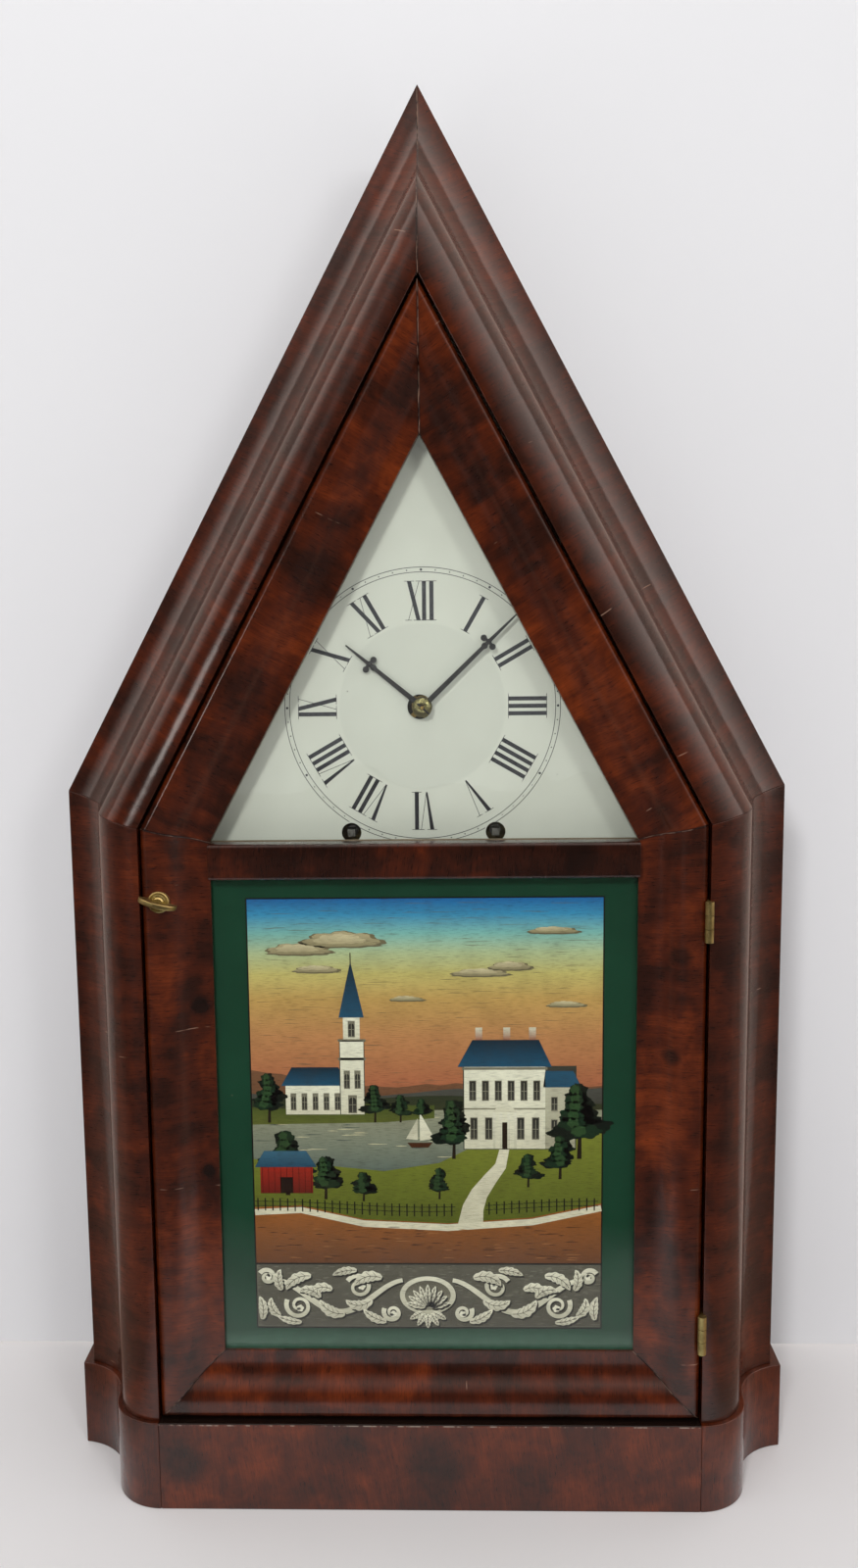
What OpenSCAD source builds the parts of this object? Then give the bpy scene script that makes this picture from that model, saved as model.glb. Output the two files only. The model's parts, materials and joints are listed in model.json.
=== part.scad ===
/* [Case] */
// Width of the case across its two sides, in mm
case_w = 348; // [250:1:450]
// Height of the eave, where the sides end and the roof starts, in mm
eave_h = 342; // [250:1:450]
// Height of the outer point of the roof, in mm
apex_h = 664; // [500:1:850]
// Depth of the case from the door plane to the back, in mm
case_d = 125; // [110:1:160]
// Thickness of the side and roof boards, in mm
board_t = 10; // [6:0.5:14]
// Thickness of the back board, in mm
back_t = 6; // [4:0.5:9]
// Thickness of the bottom board, in mm
bottom_t = 10; // [6:0.5:14]
// Width of the front moulding from the outer face to the door opening, in mm
moulding_w = 45; // [38:0.5:55]
// Radius of the convex roll of the front moulding, in mm
roll_r = 23.5; // [15:0.5:28]
// Radius of the concave cove of the front moulding, in mm
cove_r = 31; // [26:0.5:40]
// Depth of the flat outer edge behind the cove of the front moulding, in mm
cove_edge = 0.8; // [0.4:0.1:3]

/* [Plinth] */
// Height of the plinth, in mm
plinth_h = 44; // [30:1:60]
// How far the plinth stands ahead of the moulding, in mm
plinth_fwd = 2.5; // [1:0.5:5]
// How far the plinth stands out at the sides of the case, in mm
plinth_out = 5; // [2:0.5:10]
// Thickness of the plinth front board, in mm
plinth_t = 18; // [10:1:25]

/* [Door] */
// Gap all round the door, in mm
door_gap = 1.2; // [1:0.1:2]
// How far the door face stands behind the front of the moulding, in mm
door_set = 1; // [0:0.5:3]
// Thickness of the door, in mm
door_t = 17; // [14:0.5:17]
// Face width of the door frame pieces, in mm
frame_w = 30; // [24:0.5:36]
// Radius of the outer edge of the door frame, in mm
edge_r = 4.5; // [2:0.5:6]
// Where the hollow face curve of the door frame starts, from its outer edge, in mm
crown_w = 6; // [5:0.5:8]
// Radius of both curves of the door frame face, in mm
ogee_r = 14; // [12:0.5:18]
// How far the face curve falls towards the glass, in mm
ogee_drop = 8; // [5:0.5:9]
// Height of the middle rail, in mm
mid_h = 16.5; // [12:0.5:22]
// How far the middle rail stands behind the door face, in mm
mid_set = 1; // [0:0.5:4]
// Radius of the front edges of the middle rail, in mm
mid_edge_r = 2; // [1:0.5:4]
// Depth from the door face to the glass, in mm
glass_set = 10; // [9.5:0.5:11]
// How far the glass reaches behind the wood, in mm
glass_lap = 4; // [3:0.5:5]
// Thickness of the glass, in mm
glass_t = 2; // [1.5:0.5:3]
// Thickness of the paint layer behind the lower glass, in mm
paint_t = 0.3; // [0.2:0.1:0.6]
// Depth of the putty behind the glass, in mm
putty_t = 3.4; // [2:0.2:4]

/* [Hinges and latch] */
// Distance of the middle of the upper hinge below the eave, in mm
hinge_drop = 55.5; // [30:0.5:80]
// Distance of the middle of the lower hinge above the plinth, in mm
hinge_rise = 45; // [20:0.5:80]
// Length of the hinge knuckles, in mm
hinge_l = 19; // [15:0.5:26]
// Radius of the hinge knuckles, in mm
knuckle_r = 2; // [1.5:0.1:3]
// Radius of the hinge pin, in mm
hinge_pin_r = 0.9; // [0.6:0.1:1.4]
// Thickness of a hinge leaf, in mm
leaf_t = 0.5; // [0.4:0.05:0.55]
// Depth of a hinge leaf, in mm
leaf_w = 13; // [8:0.5:14]
// How far the hinge axis stands ahead of the moulding front, in mm
hinge_fwd = 0.9; // [0.5:0.1:2]
// Distance of the latch below the eave, in mm
latch_drop = 45.2; // [40:0.1:90]
// Distance of the latch from the outer edge of the door, in mm
latch_in = 7.4; // [7:0.1:12]
// Radius of the round latch plate, in mm
latch_plate_r = 5; // [4:0.1:7]
// Radius of the latch arbor, in mm
latch_arbor_r = 2; // [1.5:0.1:2.5]
// Length of the oval latch wing, in mm
wing_l = 18; // [12:0.5:24]
// Height of the latch wing, in mm
wing_h = 7; // [4:0.5:10]
// Thickness of the latch wing, in mm
wing_t = 2.2; // [1.5:0.1:3]
// Tilt of the latch wing, in degrees
wing_tilt = -15; // [-45:1:45]
// Length of the latch tongue from its arbor, in mm
tongue_l = 14; // [12:0.5:18]
// Width of the latch tongue, in mm
tongue_w = 6; // [4:0.5:8]
// Thickness of the latch tongue, in mm
tongue_t = 1.2; // [0.8:0.1:2]
// Clear space of the latch tongue in its slot, in mm
slot_fit = 0.4; // [0.3:0.1:0.6]
// Depth of the latch slot behind its front wall, in mm
slot_w = 4.8; // [4.6:0.1:8]

/* [Dial and hands] */
// Height of the middle of the dial above the eave, in mm
dial_rise = 41; // [35:0.5:50]
// Depth from the front of the moulding to the dial face, in mm
dial_set = 25; // [24.5:0.5:27]
// Thickness of the dial plate, in mm
dial_t = 1; // [0.6:0.1:1.5]
// Radius of the middle hole of the dial, in mm
dial_hole_r = 5.7; // [5:0.1:8]
// How far the middle hole stands to the left of the arbor, in mm
dial_hole_off = 1.2; // [0:0.1:1.5]
// How far the dial reaches below its middle, in mm
dial_low_drop = 82; // [78:0.5:90]
// Depth of the blocks behind the dial, in mm
block_deep = 14; // [10:0.5:16]
// Radius of the dial screws, in mm
screw_r = 1.2; // [0.8:0.1:1.6]
// Length of the dial screws behind the dial, in mm
screw_l = 8; // [5:0.5:12]
// Height of the upper dial screws above the middle of the dial, in mm
screw_rise = 90; // [70:0.5:100]
// Distance of the winding holes from the middle line, in mm
wind_x = 33.6; // [28:0.1:40]
// Distance of the winding holes below the middle of the dial, in mm
wind_drop = 58.4; // [50:0.1:62]
// Radius of the winding holes, in mm
wind_hole_r = 4.6; // [4:0.1:6]
// Length of the minute hand from the middle to its tip, in mm
minute_l = 61; // [50:0.5:63]
// Length of the hour hand from the middle to its tip, in mm
hour_l = 45; // [36:0.5:50]
// Thickness of the hands, in mm
hand_t = 0.8; // [0.5:0.1:1]
// Radius of the round middle of the hour hand, in mm
hour_hub_r = 4.6; // [4.2:0.1:6]
// Radius of the round middle of the minute hand, in mm
minute_hub_r = 4; // [3.6:0.1:5]
// Half the width of the hands at the middle, in mm
hand_w = 1.25; // [0.8:0.05:2]
// Radius of the round lobes of the hands, in mm
lobe_r = 1.45; // [1:0.05:2.5]
// Distance of the lobes from the middle of their cross, in mm
lobe_out = 2.9; // [2.2:0.1:4.5]
// Time shown by the minute hand, in degrees past the top
minute_turn = 46; // [0:1:359]
// Time shown by the hour hand, in degrees past the top
hour_turn = -50.6; // [-180:0.1:180]

/* [Movement] */
// Thickness of the movement plates, in mm
plate_t = 2; // [1.5:0.1:3]
// Depth from the front of the moulding to the front plate, in mm
plate_set = 36; // [35:0.5:40]
// Clear space between the movement plates, in mm
plate_gap = 36; // [34:0.5:38]
// Half the width of the movement plates, in mm
plate_half = 76; // [70:0.5:80]
// Half the width of the movement plates at the top, in mm
plate_top_half = 34; // [28:0.5:40]
// How far the movement plates reach above the middle of the dial, in mm
plate_up = 64; // [60:0.5:70]
// How far the movement plates reach below the middle of the dial, in mm
plate_down = 101; // [95:0.5:105]
// Distance of the plate pillars from the edges of the plates, in mm
pillar_in = 7; // [5:0.5:9]
// Radius of the plate pillars, in mm
pillar_r = 3; // [2.2:0.1:4]
// Distance of the movement blocks from the middle line, in mm
block_x = 67; // [60:0.5:70]
// Width of the movement blocks, in mm
block_wide = 18; // [12:0.5:22]
// Height of the movement blocks, in mm
block_h = 54; // [40:0.5:60]
// How far the movement blocks reach below the middle of the dial, in mm
block_down = 93; // [85:0.5:98]
// Distance of the wood screws from the ends of the movement blocks, in mm
block_screw_in = 10; // [8:0.5:16]
// Radius of the wood screws, in mm
wood_screw_r = 1.5; // [1:0.1:2]
// Length of the wood screws in their blocks, in mm
wood_screw_l = 18; // [12:0.5:24]
// Radius of the screw heads of the movement, in mm
head_r = 3; // [2.4:0.1:4]
// Thickness of the screw heads of the movement, in mm
head_t = 1.2; // [0.8:0.1:1.6]
// Radius of the arbors, in mm
arbor_r = 1.2; // [1:0.1:2]
// Radius of the pivots, in mm
pivot_r = 0.8; // [0.6:0.1:1]
// Radial clearance of every running fit, in mm
run_fit = 0.05; // [0.03:0.01:0.08]
// Radius of the winding arbors, in mm
wind_arbor_r = 2.6; // [2.2:0.1:3.2]
// Side of the winding squares, in mm
wind_square = 3.4; // [2.8:0.1:4]
// Outer radius of the mainsprings, in mm
spring_r = 28; // [20:0.5:30]
// Width of the mainsprings, in mm
spring_w = 18; // [10:0.5:19]
// Number of turns drawn in a mainspring
spring_turns = 7; // [4:1:10]
// Swing of the pendulum to one side, in degrees
swing = 4; // [1:0.5:5]
// Length of the pendulum from its flexing point to the middle of its bob, in mm
pendulum_l = 222; // [150:1:260]
// Radius of the pendulum bob, in mm
bob_r = 22; // [15:0.5:28]
// Thickness of the pendulum bob, in mm
bob_t = 8; // [5:0.5:10]
// Outer radius of the gong coil, in mm
gong_r = 42; // [30:1:50]
// Thickness of the gong wire, in mm
gong_wire = 2; // [1.4:0.1:3]
// How far the middle of the gong stands below the middle of the dial, in mm
gong_drop = 208; // [190:1:220]
// How far the middle of the gong stands to the left of the middle line, in mm
gong_left = 10; // [0:1:20]
// Depth from the front of the moulding to the middle of the gong, in mm
gong_set = 98; // [94:0.5:104]
// Radius of the gong post, in mm
gong_post_r = 5.6; // [4:0.1:7]
// Radius of the foot of the gong post, in mm
gong_foot_r = 14; // [9:0.5:18]
// Thickness of the foot of the gong post, in mm
gong_foot_t = 6; // [4:0.5:8]
// Distance of the hammer head from the gong, at its nearest, in mm
hammer_gap = 1.2; // [0.6:0.1:2]
// Radius of the hammer head, in mm
hammer_r = 4; // [3:0.1:5]
// Length of the hammer head, in mm
hammer_l = 8; // [6:0.5:12]
// Height of the bend of the hammer arm above its head, in mm
hammer_bend = 27; // [20:0.5:34]

/* [Hidden] */
$fn = 64;
eps = 0.01;
front_y = -case_d / 2;
back_y = case_d / 2;
hinge_high_z = eave_h - hinge_drop;
hinge_low_z = plinth_h + hinge_rise;
latch_z = eave_h - latch_drop;
dial_z = eave_h + dial_rise;
roof_a = atan((case_w / 2) / (apex_h - eave_h));
function edge_x(d) = case_w / 2 - d;
function edge_z(d) = eave_h - d * tan(roof_a / 2);
function point_z(d) = apex_h - d / sin(roof_a);
function half_at(d, z) = (point_z(d) - z) * tan(roof_a);
cove_dx = moulding_w - roll_r;
cove_dy = sqrt(cove_r * cove_r - (cove_r - cove_dx) * (cove_r - cove_dx));
moulding_d = roll_r + cove_dy + cove_edge;
block_roll_r = roll_r + plinth_fwd;
block_cove_r = cove_r - plinth_fwd;
block_w = moulding_w + plinth_out;
open_x = edge_x(moulding_w);
door_d = moulding_w + door_gap;
door_x = edge_x(door_d);
door_z0 = plinth_h + door_gap;
inner_d = door_d + frame_w;
inner_x = edge_x(inner_d);
inner_z = edge_z(inner_d);
rail_top = door_z0 + frame_w;
mid_z0 = inner_z - mid_h;
door_back = door_set + door_t;
rebate_fit = 0.2;
ogee_dx = sqrt(4 * ogee_r * ogee_r - (2 * ogee_r - ogee_drop) * (2 * ogee_r - ogee_drop));
glass_y0 = door_set + glass_set;
glass_y1 = glass_y0 + glass_t;
paint_y1 = glass_y1 + paint_t;
hinge_x = edge_x(moulding_w + door_gap / 2);
hinge_y = front_y - hinge_fwd;
knuckle_n = 3;
knuckle_l = hinge_l / knuckle_n;
knuckle_gap = 0.15;
latch_x = -(door_x - latch_in);
latch_boss_t = 2;
latch_y = front_y + door_set - latch_boss_t;
tongue_y = front_y + door_back + 0.6;
slot_y = tongue_y - slot_fit;
dial_low = dial_z - dial_low_drop;
dial_edge = moulding_w + 0.3;
dial_back = front_y + dial_set + dial_t;
function rake_point(d, z) = [half_at(d, z), z];
screw_low = [open_x - block_deep / 2 - 2, dial_low + block_deep / 2 - 1];
screw_high = rake_point(moulding_w + block_deep / 2, dial_z + screw_rise);
plate_y = front_y + plate_set;
plate2_y = plate_y + plate_t + plate_gap;
move_back = plate2_y + plate_t;
time_g = [wind_x, dial_z - wind_drop];
strike_g = [-wind_x, dial_z - wind_drop];
time_c = [0, dial_z];
great_n = 84;
great_m = 0.95;
leaf_n = 8;
second_n = 48;
second_m = 0.79;
centre_leaf_n = 12;
centre_n = 72;
centre_m = 0.6;
third_n = 80;
third_m = 0.5;
escape_n = 42;
escape_r = 16;
cannon_n = 12;
minute_n = 36;
minute_m = 0.6;
hour_leaf_n = 10;
hour_n = 40;
pin_n = 60;
pin_m = 0.7;
lock_n = 64;
lock_m = 0.55;
great_c = (great_n + leaf_n) * great_m / 2;
second_c = (second_n + centre_leaf_n) * second_m / 2;
centre_c = (centre_n + leaf_n) * centre_m / 2;
third_c = (third_n + leaf_n) * third_m / 2;
minute_c = (cannon_n + minute_n) * minute_m / 2;
hour_m = 2 * minute_c / (hour_leaf_n + hour_n);
pin_c = (pin_n + leaf_n) * pin_m / 2;
lock_c = (lock_n + leaf_n) * lock_m / 2;
function polar(p, r, a) = [p[0] + r * cos(a), p[1] + r * sin(a)];
function bearing(p, q) = atan2(q[1] - p[1], q[0] - p[0]);
function span(p, q) = norm([q[0] - p[0], q[1] - p[1]]);
// place the point at distances ra from p and rb from q, on the left of the line p to q
function meet(p, q, ra, rb) = polar(p, ra, bearing(p, q)
    + acos((ra * ra + span(p, q) * span(p, q) - rb * rb) / (2 * ra * span(p, q))));
time_2 = meet(time_g, time_c, great_c, second_c + 0.001);
time_3 = polar(time_c, centre_c, 144);
time_4 = [0, time_3[1] + sqrt(third_c * third_c - time_3[0] * time_3[0])];
verge_p = [0, time_4[1] + escape_r + 8];
motion_p = polar(time_c, minute_c, -40);
strike_2 = polar(strike_g, great_c, 100);
strike_3 = polar(strike_2, pin_c, 120);
strike_4 = polar(strike_3, lock_c, 60);
hammer_p = [3 - (plate_half - pillar_in), dial_z - 31];
rest_z = pendulum_l;

// extrude a drawing made in width and height through a depth range
module slab(y0, y1) {
    translate([0, y1, 0])
        rotate([90, 0, 0])
            linear_extrude(height = y1 - y0)
                children();
}

// a round rod along the depth
module rod(p, r, y0, y1) {
    translate([p[0], y0, p[1]])
        rotate([-90, 0, 0])
            cylinder(r = r, h = y1 - y0);
}

module outline(d, z0) {
    polygon([[-edge_x(d), z0], [edge_x(d), z0], [edge_x(d), edge_z(d)],
        [0, point_z(d)], [-edge_x(d), edge_z(d)]]);
}

module side_zone(d0, d1, z0) {
    polygon([[edge_x(d1), z0], [edge_x(d0), z0], [edge_x(d0), edge_z(d0)], [edge_x(d1), edge_z(d1)]]);
}

module roof_zone(d0, d1) {
    polygon([[edge_x(d0), edge_z(d0)], [0, point_z(d0)], [0, point_z(d1)], [edge_x(d1), edge_z(d1)]]);
}

// section of the front moulding, drawn past its flat faces, where it is cut
module moulding_section() {
    over = 1;
    intersection() {
        translate([0, roll_r])
            circle(r = roll_r);
        translate([-over, 0])
            square([roll_r + over, roll_r]);
    }
    translate([-over, roll_r])
        square([roll_r + over, moulding_d - roll_r + over]);
    difference() {
        translate([roll_r, roll_r])
            square([cove_dx + over, moulding_d - roll_r + over]);
        translate([roll_r + cove_r, roll_r])
            circle(r = cove_r);
    }
}

module block_section() {
    translate([0, roll_r])
        intersection() {
            circle(r = block_roll_r);
            translate([0, -block_roll_r])
                square([block_roll_r, block_roll_r]);
        }
    translate([0, roll_r])
        square([block_roll_r, moulding_d - roll_r]);
    difference() {
        translate([block_roll_r, roll_r])
            square([block_w - block_roll_r, moulding_d - roll_r]);
        translate([roll_r + cove_r, roll_r])
            circle(r = block_cove_r);
    }
    translate([moulding_w, moulding_d])
        square([plinth_out, case_d - moulding_d]);
}

module along_side(d) {
    translate([edge_x(d), front_y, 0])
        linear_extrude(height = eave_h)
            children();
}

module along_roof(d) {
    translate([edge_x(d), front_y, edge_z(d)])
        rotate([0, -roof_a, 0])
            translate([0, 0, -d])
                linear_extrude(height = apex_h - eave_h + 3 * d)
                    children();
}

module hinge_bores(r, more) {
    for (z = [hinge_low_z, hinge_high_z])
        translate([hinge_x, hinge_y, z - hinge_l / 2 - more])
            cylinder(r = r, h = hinge_l + 2 * more);
}

module moulding_side() {
    intersection() {
        along_side(moulding_w)
            moulding_section();
        slab(front_y - 1, front_y + moulding_d)
            side_zone(0, moulding_w, plinth_h);
    }
}

module moulding_roof() {
    intersection() {
        along_roof(moulding_w)
            moulding_section();
        slab(front_y - 1, front_y + moulding_d)
            roof_zone(0, moulding_w);
    }
}

// section of the door frame pieces, from the outer edge inwards
module frame_section() {
    half_dx = ogee_dx / 2;
    difference() {
        union() {
            intersection() {
                translate([edge_r, door_set + edge_r])
                    circle(r = edge_r);
                translate([0, door_set])
                    square([edge_r, edge_r]);
            }
            translate([0, door_set + edge_r])
                square([edge_r, door_t - edge_r]);
            translate([edge_r, door_set])
                square([crown_w - edge_r, door_t]);
            intersection() {
                translate([crown_w, door_set + ogee_r])
                    circle(r = ogee_r);
                translate([crown_w, door_set])
                    square([half_dx, ogee_r]);
            }
            translate([crown_w, door_set + ogee_r])
                square([half_dx, door_t - ogee_r]);
            difference() {
                translate([crown_w + half_dx, door_set])
                    square([frame_w - crown_w - half_dx, door_t]);
                translate([crown_w + ogee_dx, door_set + ogee_drop - ogee_r])
                    circle(r = ogee_r);
                translate([crown_w + ogee_dx, door_set - 1])
                    square([frame_w, ogee_drop + 1]);
            }
        }
        translate([frame_w - glass_lap - rebate_fit, glass_y0])
            square([frame_w, door_t]);
    }
}

module door_stile() {
    intersection() {
        translate([door_x, front_y, 0])
            linear_extrude(height = eave_h)
                mirror([1, 0])
                    frame_section();
        slab(front_y, front_y + door_back)
            polygon([[inner_x, rail_top], [door_x, door_z0], [door_x, edge_z(door_d)], [inner_x, inner_z]]);
    }
}

module door_rake() {
    intersection() {
        translate([door_x, front_y, edge_z(door_d)])
            rotate([0, -roof_a, 0])
                translate([0, 0, -frame_w])
                    linear_extrude(height = apex_h - eave_h + frame_w)
                        mirror([1, 0])
                            frame_section();
        slab(front_y, front_y + door_back)
            roof_zone(door_d, inner_d);
    }
}

module wood() {
    color([0.36, 0.16, 0.10])
        children();
}

module pine() {
    color([0.66, 0.50, 0.32])
        children();
}

module brass() {
    color([0.78, 0.62, 0.30])
        children();
}

module steel() {
    color([0.45, 0.46, 0.48])
        children();
}

module backboard() {
    pine()
        slab(back_y - back_t, back_y)
            outline(board_t, 0);
}

module bottom_board() {
    pine()
        difference() {
            translate([-edge_x(board_t), front_y + plinth_t - plinth_fwd, 0])
                cube([2 * edge_x(board_t), case_d - back_t - plinth_t + plinth_fwd, bottom_t]);
            for (s = [-1, 1])
                translate([s * (open_x + case_w / 2) - case_w / 2, front_y - 1, -1])
                    cube([case_w, moulding_d + 1, bottom_t + 2]);
        }
}

module side_board() {
    pine()
        slab(front_y + moulding_d, back_y)
            side_zone(0, board_t, 0);
}

module side_right() {
    side_board();
}

module side_left() {
    mirror([1, 0, 0])
        side_board();
}

module roof_right() {
    pine()
        slab(front_y + moulding_d, back_y)
            roof_zone(0, board_t);
}

module roof_left() {
    mirror([1, 0, 0])
        roof_right();
}

module moulding_side_right() {
    wood()
        difference() {
            moulding_side();
            hinge_bores(knuckle_r + 0.3, 0.3);
        }
}

module moulding_side_left() {
    slot = tongue_l - (open_x + latch_x) + 1;
    wood()
        difference() {
            mirror([1, 0, 0])
                moulding_side();
            translate([-open_x - slot, slot_y, latch_z - tongue_l])
                cube([slot + 1, slot_w, tongue_l + tongue_w / 2 + 1]);
        }
}

module moulding_roof_right() {
    wood()
        moulding_roof();
}

module moulding_roof_left() {
    wood()
        mirror([1, 0, 0])
            moulding_roof();
}

module plinth_front() {
    wood()
        translate([-open_x, front_y - plinth_fwd, 0])
            cube([2 * open_x, plinth_t, plinth_h]);
}

module plinth_block() {
    wood()
        translate([open_x, front_y, 0])
            linear_extrude(height = plinth_h)
                block_section();
}

module plinth_block_right() {
    plinth_block();
}

module plinth_block_left() {
    mirror([1, 0, 0])
        plinth_block();
}

module dial_blocks() {
    pine()
        difference() {
            for (s = [0, 1])
                mirror([s, 0, 0])
                    slab(dial_back, dial_back + block_deep) {
                        translate([open_x - block_deep, dial_low])
                            square([block_deep, 2 * block_deep]);
                        intersection() {
                            roof_zone(moulding_w, moulding_w + block_deep);
                            translate([0, screw_high[1] - block_deep])
                                square([case_w, 2 * block_deep]);
                        }
                    }
            dial_shanks();
        }
}

module dial_shanks() {
    for (s = [-1, 1])
        for (p = [screw_low, screw_high])
            rod([s * p[0], p[1]], screw_r, front_y + dial_set - eps, dial_back + screw_l);
}

module dial_screws() {
    brass() {
        dial_shanks();
        for (s = [-1, 1])
            for (p = [screw_low, screw_high])
                rod([s * p[0], p[1]], 2 * screw_r, front_y + dial_set - 1, front_y + dial_set);
    }
}

module dial_plate() {
    color([0.80, 0.82, 0.77])
        difference() {
            slab(front_y + dial_set, dial_back)
                outline(dial_edge, dial_low);
            rod([-dial_hole_off, dial_z], dial_hole_r, front_y, plate_y);
            for (p = [time_g, strike_g])
                rod(p, wind_hole_r, front_y, plate_y);
            dial_shanks();
        }
}

module door_stile_right() {
    wood()
        difference() {
            door_stile();
            hinge_bores(knuckle_r + 0.3, 0.3);
        }
}

module door_stile_left() {
    wood()
        difference() {
            mirror([1, 0, 0])
                door_stile();
            rod([latch_x, latch_z], latch_plate_r, front_y - 1, latch_y + 2 * latch_boss_t);
            rod([latch_x, latch_z], latch_arbor_r + run_fit, front_y - 1, front_y + door_t + 5);
        }
}

module door_rail_bottom() {
    wood()
        intersection() {
            translate([-door_x, front_y, door_z0])
                rotate([90, 0, 90])
                    linear_extrude(height = 2 * door_x)
                        mirror([1, -1])
                            frame_section();
            slab(front_y, front_y + door_back)
                polygon([[-door_x, door_z0], [door_x, door_z0], [inner_x, rail_top], [-inner_x, rail_top]]);
        }
}

module door_rail_middle() {
    y0 = front_y + door_set + mid_set;
    wood()
        difference() {
            union() {
                translate([-inner_x, y0 + mid_edge_r, mid_z0])
                    cube([2 * inner_x, door_t - mid_set - mid_edge_r, mid_h]);
                translate([-inner_x, y0, mid_z0 + mid_edge_r])
                    cube([2 * inner_x, mid_edge_r, mid_h - 2 * mid_edge_r]);
                for (z = [mid_z0 + mid_edge_r, inner_z - mid_edge_r])
                    translate([-inner_x, y0 + mid_edge_r, z])
                        rotate([0, 90, 0])
                            cylinder(r = mid_edge_r, h = 2 * inner_x);
            }
            for (z = [inner_z - glass_lap - rebate_fit, mid_z0 + glass_lap + rebate_fit - mid_h])
                translate([-case_w, front_y + glass_y0, z])
                    cube([2 * case_w, door_t, mid_h]);
        }
}

module door_rake_right() {
    wood()
        door_rake();
}

module door_rake_left() {
    wood()
        mirror([1, 0, 0])
            door_rake();
}

module low_pane(d) {
    translate([-inner_x - d, rail_top - d])
        square([2 * (inner_x + d), mid_z0 - rail_top + 2 * d]);
}

module dial_glass() {
    color([0.85, 0.92, 0.90, 0.3])
        slab(front_y + glass_y0, front_y + glass_y1)
            outline(inner_d - glass_lap, inner_z - glass_lap);
}

module tablet_glass() {
    color([0.85, 0.92, 0.90, 0.3])
        slab(front_y + glass_y0, front_y + glass_y1)
            low_pane(glass_lap);
}

module tablet_painting() {
    color([0.10, 0.36, 0.26])
        slab(front_y + glass_y1, front_y + paint_y1)
            low_pane(glass_lap);
}

module glass_putty() {
    color([0.45, 0.36, 0.26]) {
        slab(front_y + glass_y1, front_y + glass_y1 + putty_t)
            difference() {
                outline(inner_d - glass_lap, inner_z - glass_lap);
                outline(inner_d, inner_z);
            }
        slab(front_y + paint_y1, front_y + glass_y1 + putty_t)
            difference() {
                low_pane(glass_lap);
                low_pane(0);
            }
    }
}

module latch_plate() {
    brass()
        difference() {
            rod([latch_x, latch_z], latch_plate_r, latch_y, latch_y + 2 * latch_boss_t);
            rod([latch_x, latch_z], latch_arbor_r + run_fit, latch_y - 1, latch_y + 3 * latch_boss_t);
        }
}

module latch_knob() {
    brass()
        translate([latch_x, latch_y - 0.3, latch_z])
            rotate([0, -wing_tilt, 0]) {
                rotate([90, 0, 0])
                    cylinder(r = latch_plate_r - 1.2, h = 1);
                rotate([-90, 0, 0])
                    translate([0, 0, -1])
                        cylinder(r = latch_arbor_r, h = tongue_y + tongue_t - latch_y + 1.8);
                translate([0, 0, -wing_t / 2])
                    linear_extrude(height = wing_t)
                        intersection() {
                            circle(r = wing_l / 2);
                            translate([-wing_l / 2, -wing_h])
                                square([wing_l, wing_h - 0.5]);
                        }
            }
}

module latch_tongue() {
    brass()
        slab(tongue_y, tongue_y + tongue_t)
            translate([latch_x, latch_z])
                difference() {
                    union() {
                        circle(r = tongue_w / 2 + 0.5);
                        translate([-tongue_w / 2, -tongue_l])
                            square([tongue_w, tongue_l]);
                    }
                    circle(r = latch_arbor_r);
                }
}

module knuckle(z, k, r, cut) {
    translate([hinge_x, hinge_y, z - hinge_l / 2 + k * knuckle_l + cut])
        cylinder(r = r, h = knuckle_l - 2 * cut);
}

module leaf(x, z, ks) {
    translate([x, hinge_y + knuckle_r + 0.3, z - hinge_l / 2])
        cube([leaf_t, leaf_w - knuckle_r, hinge_l]);
    for (k = ks)
        translate([x, hinge_y, z - hinge_l / 2 + k * knuckle_l + knuckle_gap])
            cube([leaf_t, knuckle_r + 0.4, knuckle_l - 2 * knuckle_gap]);
}

module case_leaf(z) {
    brass() {
        leaf(open_x - leaf_t, z, [0, knuckle_n - 1]);
        for (k = [0, knuckle_n - 1])
            knuckle(z, k, knuckle_r, knuckle_gap);
        translate([hinge_x, hinge_y, z - hinge_l / 2 + knuckle_gap])
            cylinder(r = hinge_pin_r, h = hinge_l - 2 * knuckle_gap);
    }
}

module door_leaf(z) {
    brass()
        difference() {
            union() {
                leaf(door_x, z, [1]);
                knuckle(z, 1, knuckle_r, knuckle_gap);
            }
            knuckle(z, 1, hinge_pin_r + run_fit, -knuckle_gap);
        }
}

module hinge_upper_case_leaf() {
    case_leaf(hinge_high_z);
}

module hinge_lower_case_leaf() {
    case_leaf(hinge_low_z);
}

module hinge_upper_door_leaf() {
    door_leaf(hinge_high_z);
}

module hinge_lower_door_leaf() {
    door_leaf(hinge_low_z);
}

// toothed outline with a tooth on the direction turn
module teeth(n, m, turn, tip, add, root) {
    out_r = n * m / 2 + add * m;
    in_r = n * m / 2 - 1.5 * m;
    polygon([for (i = [0:n - 1]) for (k = [[in_r, -root], [out_r, -tip], [out_r, tip], [in_r, root]])
        polar([0, 0], k[0], turn + 360 * i / n + k[1] * 180 / n)]);
}

module wheel(p, n, m, turn, hub, y0, y1) {
    rim = n * m / 2 - 3.4 * m - 0.6;
    slab(y0, y1)
        translate(p)
            difference() {
                teeth(n, m, turn, 0.22, 0.9, 0.5);
                difference() {
                    circle(r = rim, $fn = 48);
                    circle(r = hub, $fn = 24);
                    for (a = [45, 135])
                        rotate(a)
                            square([2 * rim + 2, rim / 5 + 0.6], center = true);
                }
            }
}

module pinion(p, n, m, turn, y0, y1) {
    slab(y0, y1)
        translate(p)
            teeth(n, m, turn + 180 / n, 0.22, 0.7, 0.42);
}

module arbor(p, y0, y1) {
    rod(p, pivot_r, y0, y1);
    rod(p, arbor_r, plate_y + plate_t + 0.3, plate2_y - 0.3);
}

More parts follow.
